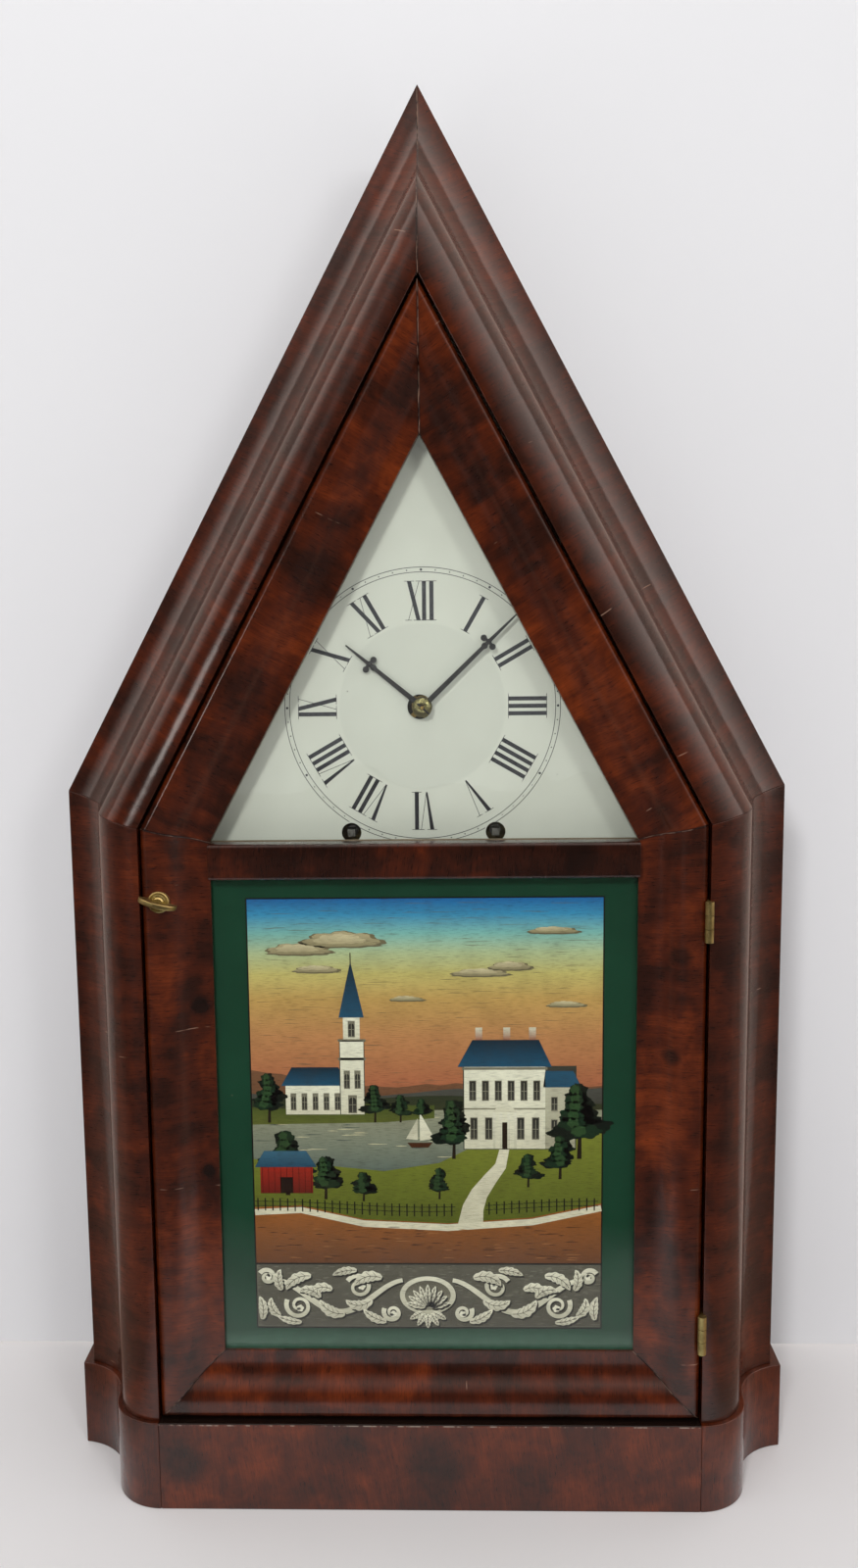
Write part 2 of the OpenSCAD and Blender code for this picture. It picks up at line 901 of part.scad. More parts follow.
p0 = plate_y + 0.2;
p1 = move_back - 0.2;
y_great = plate_y + 4;
y_second = plate_y + 8;
y_centre = plate_y + 14;
y_third = plate_y + 20;
y_escape = plate_y + 30;
y_spring = plate_y + 12.5;
y_strike = plate_y + 33;
great_t = 2;
wheel_t = 1.4;
leaf_t2 = 3.5;

plate_side = [[plate_half, -plate_down], [plate_half, -plate_down / 5],
    [(plate_half + 1.5 * plate_top_half) / 2.05, plate_up / 4], [plate_top_half, plate_up]];
pillar_low = [plate_half - pillar_in + 1, dial_z - plate_down + pillar_in + 1];
pillar_high = [plate_top_half - pillar_in, dial_z + plate_up - pillar_in];
pillars = [for (p = [pillar_low, pillar_high]) for (s = [-1, 1]) [s * p[0], p[1]]];
block_z = dial_z - block_down;
block_screws = [for (z = [block_z + block_screw_in, block_z + block_h - block_screw_in - 1])
    for (s = [-1, 1]) [s * block_x, z]];

module plate(y0) {
    slab(y0, y0 + plate_t)
        translate(time_c)
            polygon(concat(plate_side, [for (i = [3:-1:0]) [-plate_side[i][0], plate_side[i][1]]]));
}

module train_bores(y0, y1) {
    for (p = [time_2, time_3, time_4, strike_2, strike_3, strike_4, hammer_p])
        rod(p, pivot_r + run_fit, y0, y1);
}

module plate_front() {
    brass()
        difference() {
            union() {
                plate(plate_y);
                rod(motion_p, arbor_r, plate_y - 6.5, plate_y + plate_t);
            }
            train_bores(plate_y - 1, plate_y + plate_t + 1);
            rod(verge_p, pivot_r + run_fit, plate_y - 1, plate_y + plate_t + 1);
            rod(time_c, arbor_r + run_fit, plate_y - 1, plate_y + plate_t + 1);
            for (p = [time_g, strike_g])
                rod(p, wind_arbor_r + run_fit, plate_y - 1, plate_y + plate_t + 1);
            for (p = pillars)
                rod(p, pivot_r + 0.6, plate_y - 1, plate_y + plate_t + 1);
        }
}

post_z = verge_p[1] + 6.3;

module plate_back() {
    brass()
        difference() {
            union() {
                plate(plate2_y);
                for (p = pillars)
                    rod(p, pillar_r, plate_y + plate_t, plate2_y + eps);
                rod([0, post_z + pillar_r], pillar_r, plate2_y, move_back + 11);
            }
            train_bores(plate2_y - 1, move_back + 1);
            rod(verge_p, pivot_r + run_fit, plate2_y - 1, move_back + 1);
            rod(time_c, pivot_r + run_fit, plate2_y - 1, move_back + 1);
            for (p = [time_g, strike_g])
                rod(p, pivot_r + 1 + run_fit, plate2_y - 1, move_back + 1);
            for (p = block_screws)
                rod(p, wood_screw_r, plate2_y - 1, move_back + 1);
            for (p = pillars)
                rod(p, pivot_r + 0.6, plate_y, plate_y + plate_t + 8);
        }
}

module movement_blocks() {
    pine()
        difference() {
            for (s = [-1, 1])
                translate([s * block_x - block_wide / 2, move_back, block_z])
                    cube([block_wide, back_y - back_t - move_back, block_h]);
            for (p = block_screws)
                rod(p, wood_screw_r, move_back - 1, move_back + wood_screw_l);
        }
}

module movement_screws() {
    steel() {
        for (p = block_screws) {
            rod(p, wood_screw_r, plate2_y - 0.5, move_back + wood_screw_l);
            rod(p, head_r, plate2_y - head_t, plate2_y);
        }
        for (p = pillars) {
            rod(p, pivot_r + 0.6, plate_y - 0.5, plate_y + plate_t + 8);
            rod(p, head_r, plate_y - head_t, plate_y);
        }
    }
}

// flat coil drawn as a strip that winds outwards
module coil(r0, r1, turns, strip) {
    n = 24 * turns;
    function at(i, o) = polar([0, 0], r0 + (r1 - r0) * i / n + o, 15 * i);
    polygon(concat([for (i = [0:n]) at(i, -strip / 2)], [for (i = [n:-1:0]) at(i, strip / 2)]));
}

module mainsprings() {
    steel()
        for (p = [time_g, strike_g])
            slab(y_spring, y_spring + spring_w)
                translate(p)
                    coil(wind_arbor_r + 1, spring_r, spring_turns, 0.8);
}

module time_great_wheel() {
    great(time_g, bearing(time_g, time_2), y_great, 1);
}

module strike_great_wheel() {
    great(strike_g, bearing(strike_g, strike_2), y_strike, -1);
}

// the great wheel carries its click beside the ratchet of the winding arbor
module great(p, turn, y0, s) {
    c0 = s > 0 ? y0 + great_t - eps : y0 - 2.2;
    brass()
        difference() {
            union() {
                wheel(p, great_n, great_m, turn, 9, y0, y0 + great_t);
                slab(c0, c0 + 2.2)
                    translate(p)
                        rotate(45) {
                            translate([16.5, 0])
                                circle(r = 2);
                            polygon([[14.9, -1.6], [18.1, -1.6], [15.2, -9.5], [12.7, -9.5]]);
                        }
            }
            rod(p, wind_arbor_r + run_fit, y0 - 5, y0 + 5);
        }
}

module winding(p, y_ratchet) {
    steel() {
        rod(p, pivot_r + 1, plate2_y - 1, p1);
        rod(p, wind_arbor_r, plate_y - 4, plate2_y - 0.3);
        translate([p[0] - wind_square / 2, front_y + dial_set - 0.5, p[1] - wind_square / 2])
            cube([wind_square, plate_set - dial_set - 3, wind_square]);
        slab(y_ratchet, y_ratchet + 1.6)
            translate(p)
                polygon([for (i = [0:19]) for (k = [[12, 0], [10.3, 1.5]])
                    polar([0, 0], k[0], 18 * i + k[1])]);
    }
}

module time_winding_arbor() {
    winding(time_g, y_great + great_t + 0.4);
}

module strike_winding_arbor() {
    winding(strike_g, y_strike - 2);
}

module second_wheel() {
    brass() {
        arbor(time_2, p0, p1);
        pinion(time_2, leaf_n, great_m, bearing(time_2, time_g), y_great - 0.7, y_great + great_t + 0.7);
        wheel(time_2, second_n, second_m, bearing(time_2, time_c), 4, y_second, y_second + wheel_t);
    }
}

module centre_wheel() {
    brass() {
        arbor(time_c, front_y + dial_set - 8.5, p1);
        rod(time_c, arbor_r, plate_y - 0.3, plate2_y - 0.3);
        pinion(time_c, centre_leaf_n, second_m, bearing(time_c, time_2),
            y_second - 1, y_second + wheel_t + 1);
        wheel(time_c, centre_n, centre_m, bearing(time_c, time_3), 4, y_centre, y_centre + wheel_t);
    }
}

module third_wheel() {
    brass() {
        arbor(time_3, p0, p1);
        pinion(time_3, leaf_n, centre_m, bearing(time_3, time_c), y_centre - 1, y_centre + wheel_t + 1);
        wheel(time_3, third_n, third_m, bearing(time_3, time_4), 3, y_third, y_third + wheel_t);
    }
}

module escape_wheel() {
    brass() {
        arbor(time_4, p0, p1);
        pinion(time_4, leaf_n, third_m, bearing(time_4, time_3), y_third - 1, y_third + wheel_t + 1);
        slab(y_escape, y_escape + wheel_t)
            translate(time_4)
                difference() {
                    polygon([for (i = [0:escape_n - 1])
                        for (k = [[escape_r, 0], [escape_r - 1.9, 1.2], [escape_r - 1.9, 6]])
                        polar([0, 0], k[0], 360 * i / escape_n + k[1])]);
                    difference() {
                        circle(r = escape_r - 4, $fn = 48);
                        circle(r = 3.5, $fn = 24);
                        for (a = [0, 90])
                            rotate(a)
                                square([2 * escape_r, 2.6], center = true);
                    }
                }
    }
}

y_motion = plate_y - 4;
y_hour = plate_y - 7;
hour_pipe_r = 3.2;
cannon_r = 2.2;
y_hour_hand = front_y + dial_set - 2.4;
y_minute_hand = front_y + dial_set - 5;

module cannon_pinion() {
    brass()
        difference() {
            union() {
                pinion(time_c, cannon_n, minute_m, bearing(time_c, motion_p),
                    y_motion - 0.5, y_motion + 2.5);
                rod(time_c, cannon_r, y_minute_hand, y_motion);
            }
            rod(time_c, pivot_r, y_minute_hand - 1, y_motion + 4);
        }
}

module minute_wheel() {
    brass()
        difference() {
            union() {
                wheel(motion_p, minute_n, minute_m, bearing(motion_p, time_c), 3.4,
                    y_motion, y_motion + wheel_t);
                pinion(motion_p, hour_leaf_n, hour_m, bearing(motion_p, time_c),
                    y_hour + 0.6, y_motion + eps);
            }
            rod(motion_p, arbor_r + run_fit, y_hour - 1, plate_y);
        }
}

module hour_wheel() {
    brass()
        difference() {
            union() {
                wheel(time_c, hour_n, hour_m, bearing(time_c, motion_p), 5,
                    y_hour + 0.8, y_hour + 0.8 + wheel_t);
                rod(time_c, hour_pipe_r, y_hour_hand, y_hour + 0.8 + wheel_t);
            }
            rod(time_c, cannon_r + run_fit, y_hour_hand - 1, y_motion);
        }
}

// a tapered hand with a cross of three round lobes below its point
module hand_shape(l, hub) {
    at = l * 0.70;
    neck = hand_w * 0.55;
    circle(r = hub);
    polygon([[-hand_w, 0], [hand_w, 0], [hand_w * 0.7, at], [-hand_w * 0.7, at]]);
    polygon([[-hand_w * 0.7, at], [hand_w * 0.7, at], [hand_w * 0.25, l], [-hand_w * 0.25, l]]);
    translate([0, at])
        circle(r = lobe_r * 0.8);
    for (a = [-12, 192, 270])
        translate([0, at])
            rotate(a) {
                translate([0, -neck])
                    square([lobe_out, 2 * neck]);
                translate([lobe_out, 0])
                    circle(r = lobe_r);
            }
}

module hour_hand() {
    color([0.06, 0.06, 0.07])
        difference() {
            slab(y_hour_hand, y_hour_hand + hand_t)
                translate(time_c)
                    rotate(-hour_turn)
                        hand_shape(hour_l, hour_hub_r);
            rod(time_c, hour_pipe_r, front_y, plate_y);
        }
}

module minute_hand() {
    color([0.06, 0.06, 0.07])
        difference() {
            slab(y_minute_hand, y_minute_hand + hand_t)
                translate(time_c)
                    rotate(-minute_turn)
                        hand_shape(minute_l, minute_hub_r);
            rod(time_c, cannon_r, front_y, plate_y);
        }
}

module hand_collet() {
    brass() {
        difference() {
            rod(time_c, 4.5, y_minute_hand - 1.2, y_minute_hand);
            rod(time_c, pivot_r, y_minute_hand - 2, y_minute_hand + 1);
        }
        difference() {
            translate([0, y_minute_hand - 1.9, dial_z])
                rotate([0, 70, 0])
                    translate([0, 0, -4.2])
                        cylinder(r = 0.75, h = 8.4);
            rod(time_c, pivot_r, y_minute_hand - 5, y_minute_hand + 1);
        }
    }
}

crutch_y = move_back + 4;
pend_y = move_back + 8;
pend_r = 0.9;

module verge_crutch() {
    steel() {
        rod(verge_p, pivot_r, p0, crutch_y);
        rod(verge_p, 2.4, y_escape - 1, y_escape + wheel_t + 1);
        slab(y_escape - 0.6, y_escape + wheel_t + 0.6)
            translate(verge_p)
                polygon([[-14, -8.8], [-9.5, 1.5], [0, 3.2], [9.5, 1.5], [14, -8.8], [12, -10.6],
                    [7.6, -1.4], [0, 0], [-7.6, -1.4], [-12, -10.6]]);
        rod(verge_p, 2.4, crutch_y - 1.2, crutch_y);
        translate([0, crutch_y - 0.6, verge_p[1] - 30])
            cylinder(r = 0.6, h = 30);
        translate([-3, crutch_y - 1.2, verge_p[1] - 31.2])
            cube([6, 1.2, 2.4]);
        for (s = [-1, 1])
            translate([s * 2.1 - 0.9, crutch_y - 1.2, verge_p[1] - 31.2])
                cube([1.8, pend_y - crutch_y + 3.2, 2.4]);
    }
}

module pendulum_rod() {
    steel() {
        translate([-0.15, pend_y - 2, verge_p[1] - 9])
            cube([0.3, 4, 15]);
        translate([0, pend_y, verge_p[1] - rest_z - bob_r - 9])
            cylinder(r = pend_r, h = rest_z + bob_r + 2);
        translate([0, pend_y, verge_p[1] - 10])
            cylinder(r = 1.8, h = 5);
        translate([0, pend_y, verge_p[1] - rest_z - bob_r - 3])
            cylinder(r = 3, h = 3);
    }
}

module pendulum_bob() {
    brass()
        difference() {
            rod([0, verge_p[1] - rest_z], bob_r, pend_y - bob_t / 2, pend_y + bob_t / 2);
            translate([0, pend_y, verge_p[1] - rest_z - bob_r - 1])
                cylinder(r = pend_r, h = 2 * bob_r + 2);
        }
}

module strike_pins() {
    for (i = [0:7])
        rod(polar(strike_2, 18, 45 * i + 10), 0.6, y_second, y_second + wheel_t + 2.2);
}

module pin_wheel() {
    brass() {
        arbor(strike_2, p0, p1);
        pinion(strike_2, leaf_n, great_m, bearing(strike_2, strike_g),
            y_strike - 0.7, y_strike + great_t + 0.7);
        wheel(strike_2, pin_n, pin_m, bearing(strike_2, strike_3), 4, y_second, y_second + wheel_t);
        strike_pins();
    }
}

module lock_wheel() {
    brass() {
        arbor(strike_3, p0, p1);
        pinion(strike_3, leaf_n, pin_m, bearing(strike_3, strike_2), y_second - 1, y_second + wheel_t + 1);
        wheel(strike_3, lock_n, lock_m, bearing(strike_3, strike_4), 3, y_strike, y_strike + wheel_t);
    }
}

module fly() {
    brass() {
        arbor(strike_4, p0, p1);
        pinion(strike_4, leaf_n, lock_m, bearing(strike_4, strike_3), y_strike - 1, y_strike + wheel_t + 1);
        translate([strike_4[0] - 9, y_great + 1, strike_4[1] - 0.4])
            cube([18, 13, 0.8]);
    }
}

// a flat bar between two points, drawn in width and height
module bar(p, q, w) {
    translate(p)
        rotate(bearing(p, q))
            translate([0, -w / 2])
                square([span(p, q), w]);
}

gong_p = [-gong_left, dial_z - gong_drop];
gong_y = front_y + gong_set;
head_p = [gong_p[0] - gong_r - hammer_gap - hammer_l / 2 + 0.2, gong_y, gong_p[1] + 12];
arm_y = y_third + 4;

module hammer() {
    low = [head_p[0], head_p[2] + hammer_bend];
    bends = [hammer_p, hammer_p + [4.5, -47], [low[0], pillar_low[1] + 6], low];
    steel() {
        arbor(hammer_p, p0, p1);
        slab(arm_y - 0.9, arm_y + 0.9)
            for (i = [1:3]) {
                bar(bends[i - 1], bends[i], 1.8);
                translate(bends[i])
                    circle(r = 1.1);
            }
        rod(low, 1.4, arm_y - 1.4, gong_y + 1.4);
        translate([low[0], gong_y, head_p[2]])
            cylinder(r = 0.9, h = low[1] - head_p[2]);
        rod(hammer_p, 2.2, arm_y - 2, arm_y + 2);
        slab(y_second + wheel_t + 0.5, y_second + wheel_t + 2)
            translate(hammer_p)
                rotate(bearing(hammer_p, strike_2)) {
                    circle(r = 2);
                    translate([0, -0.6])
                        square([9.6, 1.2]);
                }
        translate([head_p[0] - hammer_l / 2, head_p[1], head_p[2]])
            rotate([0, 90, 0])
                cylinder(r = hammer_r, h = hammer_l);
    }
}

module gong() {
    steel() {
        slab(gong_y - 0.6 * gong_wire, gong_y + 0.6 * gong_wire)
            translate(gong_p)
                coil(gong_post_r - 0.6, gong_r - gong_wire / 2, 4, gong_wire);
        rod(gong_p, gong_post_r, gong_y - gong_wire * 1.5, back_y - back_t);
        rod(gong_p, gong_foot_r, back_y - back_t - gong_foot_t, back_y - back_t);
    }
}

backboard();
bottom_board();
side_left();
side_right();
roof_left();
roof_right();
moulding_side_left();
moulding_side_right();
moulding_roof_left();
moulding_roof_right();
plinth_front();
plinth_block_left();
plinth_block_right();
dial_blocks();
door_stile_left();
door_stile_right();
door_rail_bottom();
door_rail_middle();
door_rake_left();
door_rake_right();
dial_glass();
tablet_glass();
tablet_painting();
glass_putty();
latch_plate();
latch_knob();
latch_tongue();
hinge_upper_case_leaf();
hinge_upper_door_leaf();
hinge_lower_case_leaf();
hinge_lower_door_leaf();
dial_plate();
dial_screws();
hour_hand();
minute_hand();
hand_collet();
plate_front();
plate_back();
movement_blocks();
movement_screws();
mainsprings();
time_great_wheel();
time_winding_arbor();
second_wheel();
centre_wheel();
third_wheel();
escape_wheel();
cannon_pinion();
minute_wheel();
hour_wheel();
verge_crutch();
pendulum_rod();
pendulum_bob();
strike_great_wheel();
strike_winding_arbor();
pin_wheel();
lock_wheel();
fly();
hammer();
gong();
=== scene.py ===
import json
import math
import random

import bmesh
import bpy
from bpy.props import FloatProperty, FloatVectorProperty, IntProperty, PointerProperty
from mathutils import Matrix, Vector


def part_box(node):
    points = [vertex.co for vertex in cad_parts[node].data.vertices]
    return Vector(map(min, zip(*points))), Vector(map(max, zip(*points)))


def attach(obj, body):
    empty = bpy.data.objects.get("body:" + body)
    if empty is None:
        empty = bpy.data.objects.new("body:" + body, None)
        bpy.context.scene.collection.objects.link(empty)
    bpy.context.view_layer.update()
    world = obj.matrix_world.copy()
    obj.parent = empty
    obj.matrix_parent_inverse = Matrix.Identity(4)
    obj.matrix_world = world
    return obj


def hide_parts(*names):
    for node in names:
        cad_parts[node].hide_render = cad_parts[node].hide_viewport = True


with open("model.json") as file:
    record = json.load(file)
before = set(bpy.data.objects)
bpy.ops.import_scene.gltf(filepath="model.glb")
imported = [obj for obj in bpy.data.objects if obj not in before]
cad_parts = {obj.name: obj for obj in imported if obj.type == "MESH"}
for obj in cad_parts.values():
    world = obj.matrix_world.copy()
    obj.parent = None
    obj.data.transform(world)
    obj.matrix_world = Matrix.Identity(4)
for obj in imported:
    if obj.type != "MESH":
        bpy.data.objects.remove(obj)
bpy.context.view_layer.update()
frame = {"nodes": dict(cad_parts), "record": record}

bl_info = {
    "name": "Steeple Clock",
    "version": (1, 0, 0),
    "blender": (4, 5, 0),
    "location": "View3D > Sidebar > Clock",
    "description": "Builds the looks of a veneered steeple clock around its packed frame",
    "category": "Add Mesh",
}

# ---------------------------------------------------------------- sizes read from the frame

SIDE_LO, SIDE_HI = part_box("moulding_side_right")
STILE_LO, STILE_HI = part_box("door_stile_right")
RAIL_LO, RAIL_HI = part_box("door_rail_middle")
BLOCK_LO, BLOCK_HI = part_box("plinth_block_right")
PLINTH_LO, PLINTH_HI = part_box("plinth_front")
PAINT_LO, PAINT_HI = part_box("tablet_painting")
COLLET_LO, COLLET_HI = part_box("hand_collet")
TONGUE_LO, TONGUE_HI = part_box("latch_tongue")

HALF = SIDE_HI.x
EAVE = SIDE_HI.z
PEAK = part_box("moulding_roof_right")[1].z
FRONT = SIDE_LO.y
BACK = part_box("backboard")[1].y
DIAL_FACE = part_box("dial_plate")[0].y
GLASS_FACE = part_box("tablet_glass")[0].y
ROOF = math.atan(HALF / (PEAK - EAVE))
DOOR_IN = HALF - STILE_HI.x
FRAME_W = STILE_HI.x - STILE_LO.x
CENTRE = Vector((0.0, DIAL_FACE, (COLLET_LO.z + COLLET_HI.z) / 2))
MM = 0.001
TINY = 1e-6
QUARTER = math.pi / 2
TO_FRONT = Matrix.Rotation(QUARTER, 4, "X")
SIDES = ((1, "right"), (-1, "left"))


def side_x(d):
    """Half width of the outline that lies d inside the case."""
    return HALF - d


def eave_z(d):
    """Height of the eave corner of the outline that lies d inside the case."""
    return EAVE - d * math.tan(ROOF / 2)


def point_z(d):
    """Height of the point of the outline that lies d inside the case."""
    return PEAK - d / math.sin(ROOF)


def tone(r, g, b):
    """A colour written as it is seen, from 0 to 255, in the values that a shader takes."""
    def one(c):
        c = c / 255
        return c / 12.92 if c <= 0.04045 else ((c + 0.055) / 1.055) ** 2.4
    return (one(r), one(g), one(b), 1.0)


def size(name, text, value):
    """A length that a user can set."""
    return FloatProperty(name=name, description=text, default=value, unit="LENGTH", precision=5)


def colour(name, text, rgb):
    """A colour that a user can set."""
    return FloatVectorProperty(name=name, description=text, subtype="COLOR", size=4, min=0, max=1,
                               default=tone(*rgb))


# ---------------------------------------------------------------- settings


class ClockCase(bpy.types.PropertyGroup):
    moulding: size("Moulding width", "Width of the front moulding", SIDE_HI.x - SIDE_LO.x)
    depth: size("Moulding depth", "Depth of the front moulding", SIDE_HI.y - SIDE_LO.y)
    roll: size("Roll radius", "Radius of the convex roll of the moulding", 22.2 * MM)
    cove: size("Cove radius", "Radius of the hollow of the moulding", 32.3 * MM)
    forward: size("Plinth forward", "How far the plinth stands ahead of the moulding", FRONT - PLINTH_LO.y)
    arris: size("Arris", "Width of the worn edges of the wood", 0.45 * MM)
    steps: IntProperty(name="Steps", description="Faces across each curve of the moulding", default=28)


class ClockDoor(bpy.types.PropertyGroup):
    edge: size("Outer edge", "Radius of the outer edge of the door frame", 3.2 * MM)
    crown: size("Crown", "Where the hollow curve of the frame starts", 6 * MM)
    ogee: size("Face curve", "Radius of both curves of the frame face", 14 * MM)
    drop: size("Face fall", "How far the face falls towards the glass", 8 * MM)
    set_back: size("Face set", "How far the door face stands behind the moulding", STILE_LO.y - FRONT)
    thick: size("Thickness", "Thickness of the door", STILE_HI.y - STILE_LO.y)
    glass: size("Glass set", "Depth from the moulding to the glass", GLASS_FACE - FRONT)
    lap: size("Glass lap", "How far the glass reaches behind the wood", 4.2 * MM)
    veneer: size("Edge veneer", "Thickness of the veneer that closes the gap around the door", 0.5 * MM)
    mid_edge: size("Middle rail edge", "Radius of the front edges of the middle rail", 2 * MM)


class ClockDial(bpy.types.PropertyGroup):
    ring_out: size("Outer ring", "Radius of the outer line of the minute ring", 63.5 * MM)
    ring_in: size("Inner ring", "Radius of the inner line of the minute ring", 61.3 * MM)
    line: size("Ring line", "Width of the lines of the minute ring", 0.3 * MM)
    foot: size("Numeral foot", "Distance of the numerals' feet from the middle", 39.6 * MM)
    head: size("Numeral head", "Distance of the numerals' heads from the middle", 57.2 * MM)
    stroke: size("Thick stroke", "Width of the thick strokes", 1.9 * MM)
    hair: size("Hair stroke", "Width of the hair strokes and serifs", 0.26 * MM)
    pitch: size("Stroke pitch", "Distance between upright strokes", 3.4 * MM)
    dot: size("Minute dot", "Radius of the minute dots", 0.3 * MM)
    dot_five: size("Five-minute dot", "Radius of the five-minute dots", 0.58 * MM)
    ink: size("Ink", "Thickness of the print", 0.03 * MM)
    hole: size("Clear of holes", "Radius kept clear of print around the winding holes", 5.1 * MM)


class ClockFinish(bpy.types.PropertyGroup):
    wood_dark: colour("Dark figure", "Darkest figure of the mahogany", (24, 9, 5))
    wood_deep: colour("Deep brown", "Deep brown of the mahogany", (46, 18, 8))
    wood_mid: colour("Red brown", "Middle red brown of the mahogany", (74, 27, 8))
    wood_light: colour("Light figure", "Lightest figure of the mahogany", (118, 48, 13))
    wood_worn: colour("Worn edge", "Bare, worn edges of the veneer", (150, 118, 100))
    dial: colour("Dial paint", "Paint of the dial", (210, 212, 200))
    ink: colour("Ink", "Print of the dial", (15, 15, 22))
    border: colour("Glass border", "Green border of the lower glass", (24, 62, 44))
    brass: colour("Brass", "Aged brass", (198, 184, 124))
    steel: colour("Steel", "Dulled steel", (104, 102, 98))
    pine: colour("Pine", "Old pine inside the case", (150, 112, 72))


class ClockStage(bpy.types.PropertyGroup):
    floor: colour("Floor", "Paper under the clock", (234, 232, 232))
    wall_tone: colour("Backdrop", "Paper behind the clock", (227, 227, 229))
    room: colour("Room", "Dim room that polish reflects", (44, 42, 42))
    key: FloatProperty(name="Key lamp", description="Strength of the main lamp", default=10.5, unit="POWER")
    top: FloatProperty(name="Top lamp", description="Strength of the lamp above", default=9, unit="POWER")
    fill: FloatProperty(name="Fill lamp", description="Strength of the side lamp", default=3.6, unit="POWER")
    world: FloatProperty(name="Surroundings", description="Strength of the pale surroundings", default=0.38)
    shine_left: FloatProperty(name="Left shine", description="Brightness that polish shows low on the left",
                              default=0.15)
    shine_right: FloatProperty(name="Right shine", description="Brightness that polish shows low on the right",
                               default=1.9)
    shine_high: FloatProperty(name="High shine", description="Brightness that polish shows above", default=2.5)
    shine_front: FloatProperty(name="Front shine", description="Brightness that polish shows in front",
                               default=0.03)
    window: FloatProperty(name="Window", description="Brightness of the window that polish shows on the left",
                          default=9.0)
    wall: size("Wall", "Distance of the backdrop behind the clock", 24 * MM)


# ---------------------------------------------------------------- node trees


class Tree:
    """Writes one node tree with short calls."""

    def __init__(self, tree):
        self.tree = tree

    def node(self, kind, inputs=None, **settings):
        """A new node with its settings made and its inputs set or linked."""
        node = self.tree.nodes.new(kind)
        for key, value in settings.items():
            setattr(node, key, value)
        for key, value in (inputs or {}).items():
            self.put(node.inputs[key], value)
        return node

    def put(self, socket, value):
        if isinstance(value, bpy.types.NodeSocket):
            self.tree.links.new(value, socket)
        else:
            socket.default_value = value

    def math(self, operation, a, b=0.0):
        return self.node("ShaderNodeMath", {0: a, 1: b}, operation=operation).outputs[0]

    def add(self, a, b):
        """The sum of two values."""
        return self.math("ADD", a, b)

    def times(self, a, b):
        """The product of two values."""
        return self.math("MULTIPLY", a, b)

    def vector(self, operation, a, b=None, scale=None):
        inputs = {0: a}
        if b is not None:
            inputs[1] = b
        if scale is not None:
            inputs["Scale"] = scale
        return self.node("ShaderNodeVectorMath", inputs, operation=operation).outputs[0]

    def apart(self, a, b):
        """The distance between two points."""
        return self.node("ShaderNodeVectorMath", {0: a, 1: b}, operation="DISTANCE").outputs["Value"]

    def parts(self, vector):
        """The three parts of a vector."""
        return self.node("ShaderNodeSeparateXYZ", {0: vector}).outputs

    def whole(self, x=0.0, y=0.0, z=0.0):
        """A vector of three parts."""
        return self.node("ShaderNodeCombineXYZ", {0: x, 1: y, 2: z}).outputs[0]

    def noise(self, vector, scale=1.0, detail=2.0, rough=0.5, bend=0.0):
        """Soft noise around 0.5."""
        return self.node("ShaderNodeTexNoise", {"Vector": vector, "Scale": scale, "Detail": detail,
                                                "Roughness": rough, "Distortion": bend}).outputs["Fac"]

    def span(self, value, low, high, to_low=0.0, to_high=1.0):
        """The value between low and high, drawn out from to_low to to_high and held there beyond."""
        return self.node("ShaderNodeMapRange", {0: value, 1: low, 2: high, 3: to_low, 4: to_high}).outputs[0]

    def mix(self, factor, a, b):
        """Colour a at 0 and colour b at 1."""
        return self.node("ShaderNodeMix", {0: factor, 6: a, 7: b}, data_type="RGBA").outputs[2]

    def shaders(self, factor, a, b):
        """Shader a at 0 and shader b at 1."""
        return self.node("ShaderNodeMixShader", {0: factor, 1: a, 2: b}).outputs[0]

    def ramp(self, value, stops):
        """A run of colours at their places from 0 to 1."""
        node = self.node("ShaderNodeValToRGB", {0: value})
        ramp = node.color_ramp
        while len(ramp.elements) > 1:
            ramp.elements.remove(ramp.elements[0])
        ramp.elements[0].position, ramp.elements[0].color = stops[0]
        for place, shade in stops[1:]:
            ramp.elements.new(place).color = shade
        return node.outputs[0]

    def bump(self, height, distance):
        return self.node("ShaderNodeBump", {"Height": height, "Distance": distance, "Strength": 1.0}).outputs[0]

    def place(self, turn=(0, 0, 0), shift=(0, 0, 0)):
        """Object coordinates, turned and then moved."""
        coords = self.node("ShaderNodeTexCoord").outputs["Object"]
        return self.node("ShaderNodeMapping", {"Vector": coords, "Rotation": turn, "Location": shift}).outputs[0]

    def glaze(self, shader, factor, shade):
        """Lays a thin colour over the one that the shader already has."""
        below = shader.inputs["Base Color"].links[0].from_socket
        self.put(shader.inputs["Base Color"], self.mix(factor, below, shade))


def material(name, **constants):
    """A material with one main shader: returns it, its tree and the shader."""
    made = bpy.data.materials.new(name)
    made.use_nodes = True
    tree, shader = opened(made)
    for key, value in constants.items():
        shader.inputs[key.replace("_", " ")].default_value = value
    return made, tree, shader


def opened(made):
    """The tree of a material and its main shader."""
    return Tree(made.node_tree), made.node_tree.nodes["Principled BSDF"]


def mitres():
    """The joints of the door as lines in the front: a point on each and its normal, on the right half."""
    eave = ROOF / 2
    half = math.sqrt(0.5)
    return ((HALF, EAVE, math.sin(eave), -math.cos(eave)), (HALF - DOOR_IN, STILE_LO.z, half, half),
            (0.0, 0.0, 1.0, 0.0))


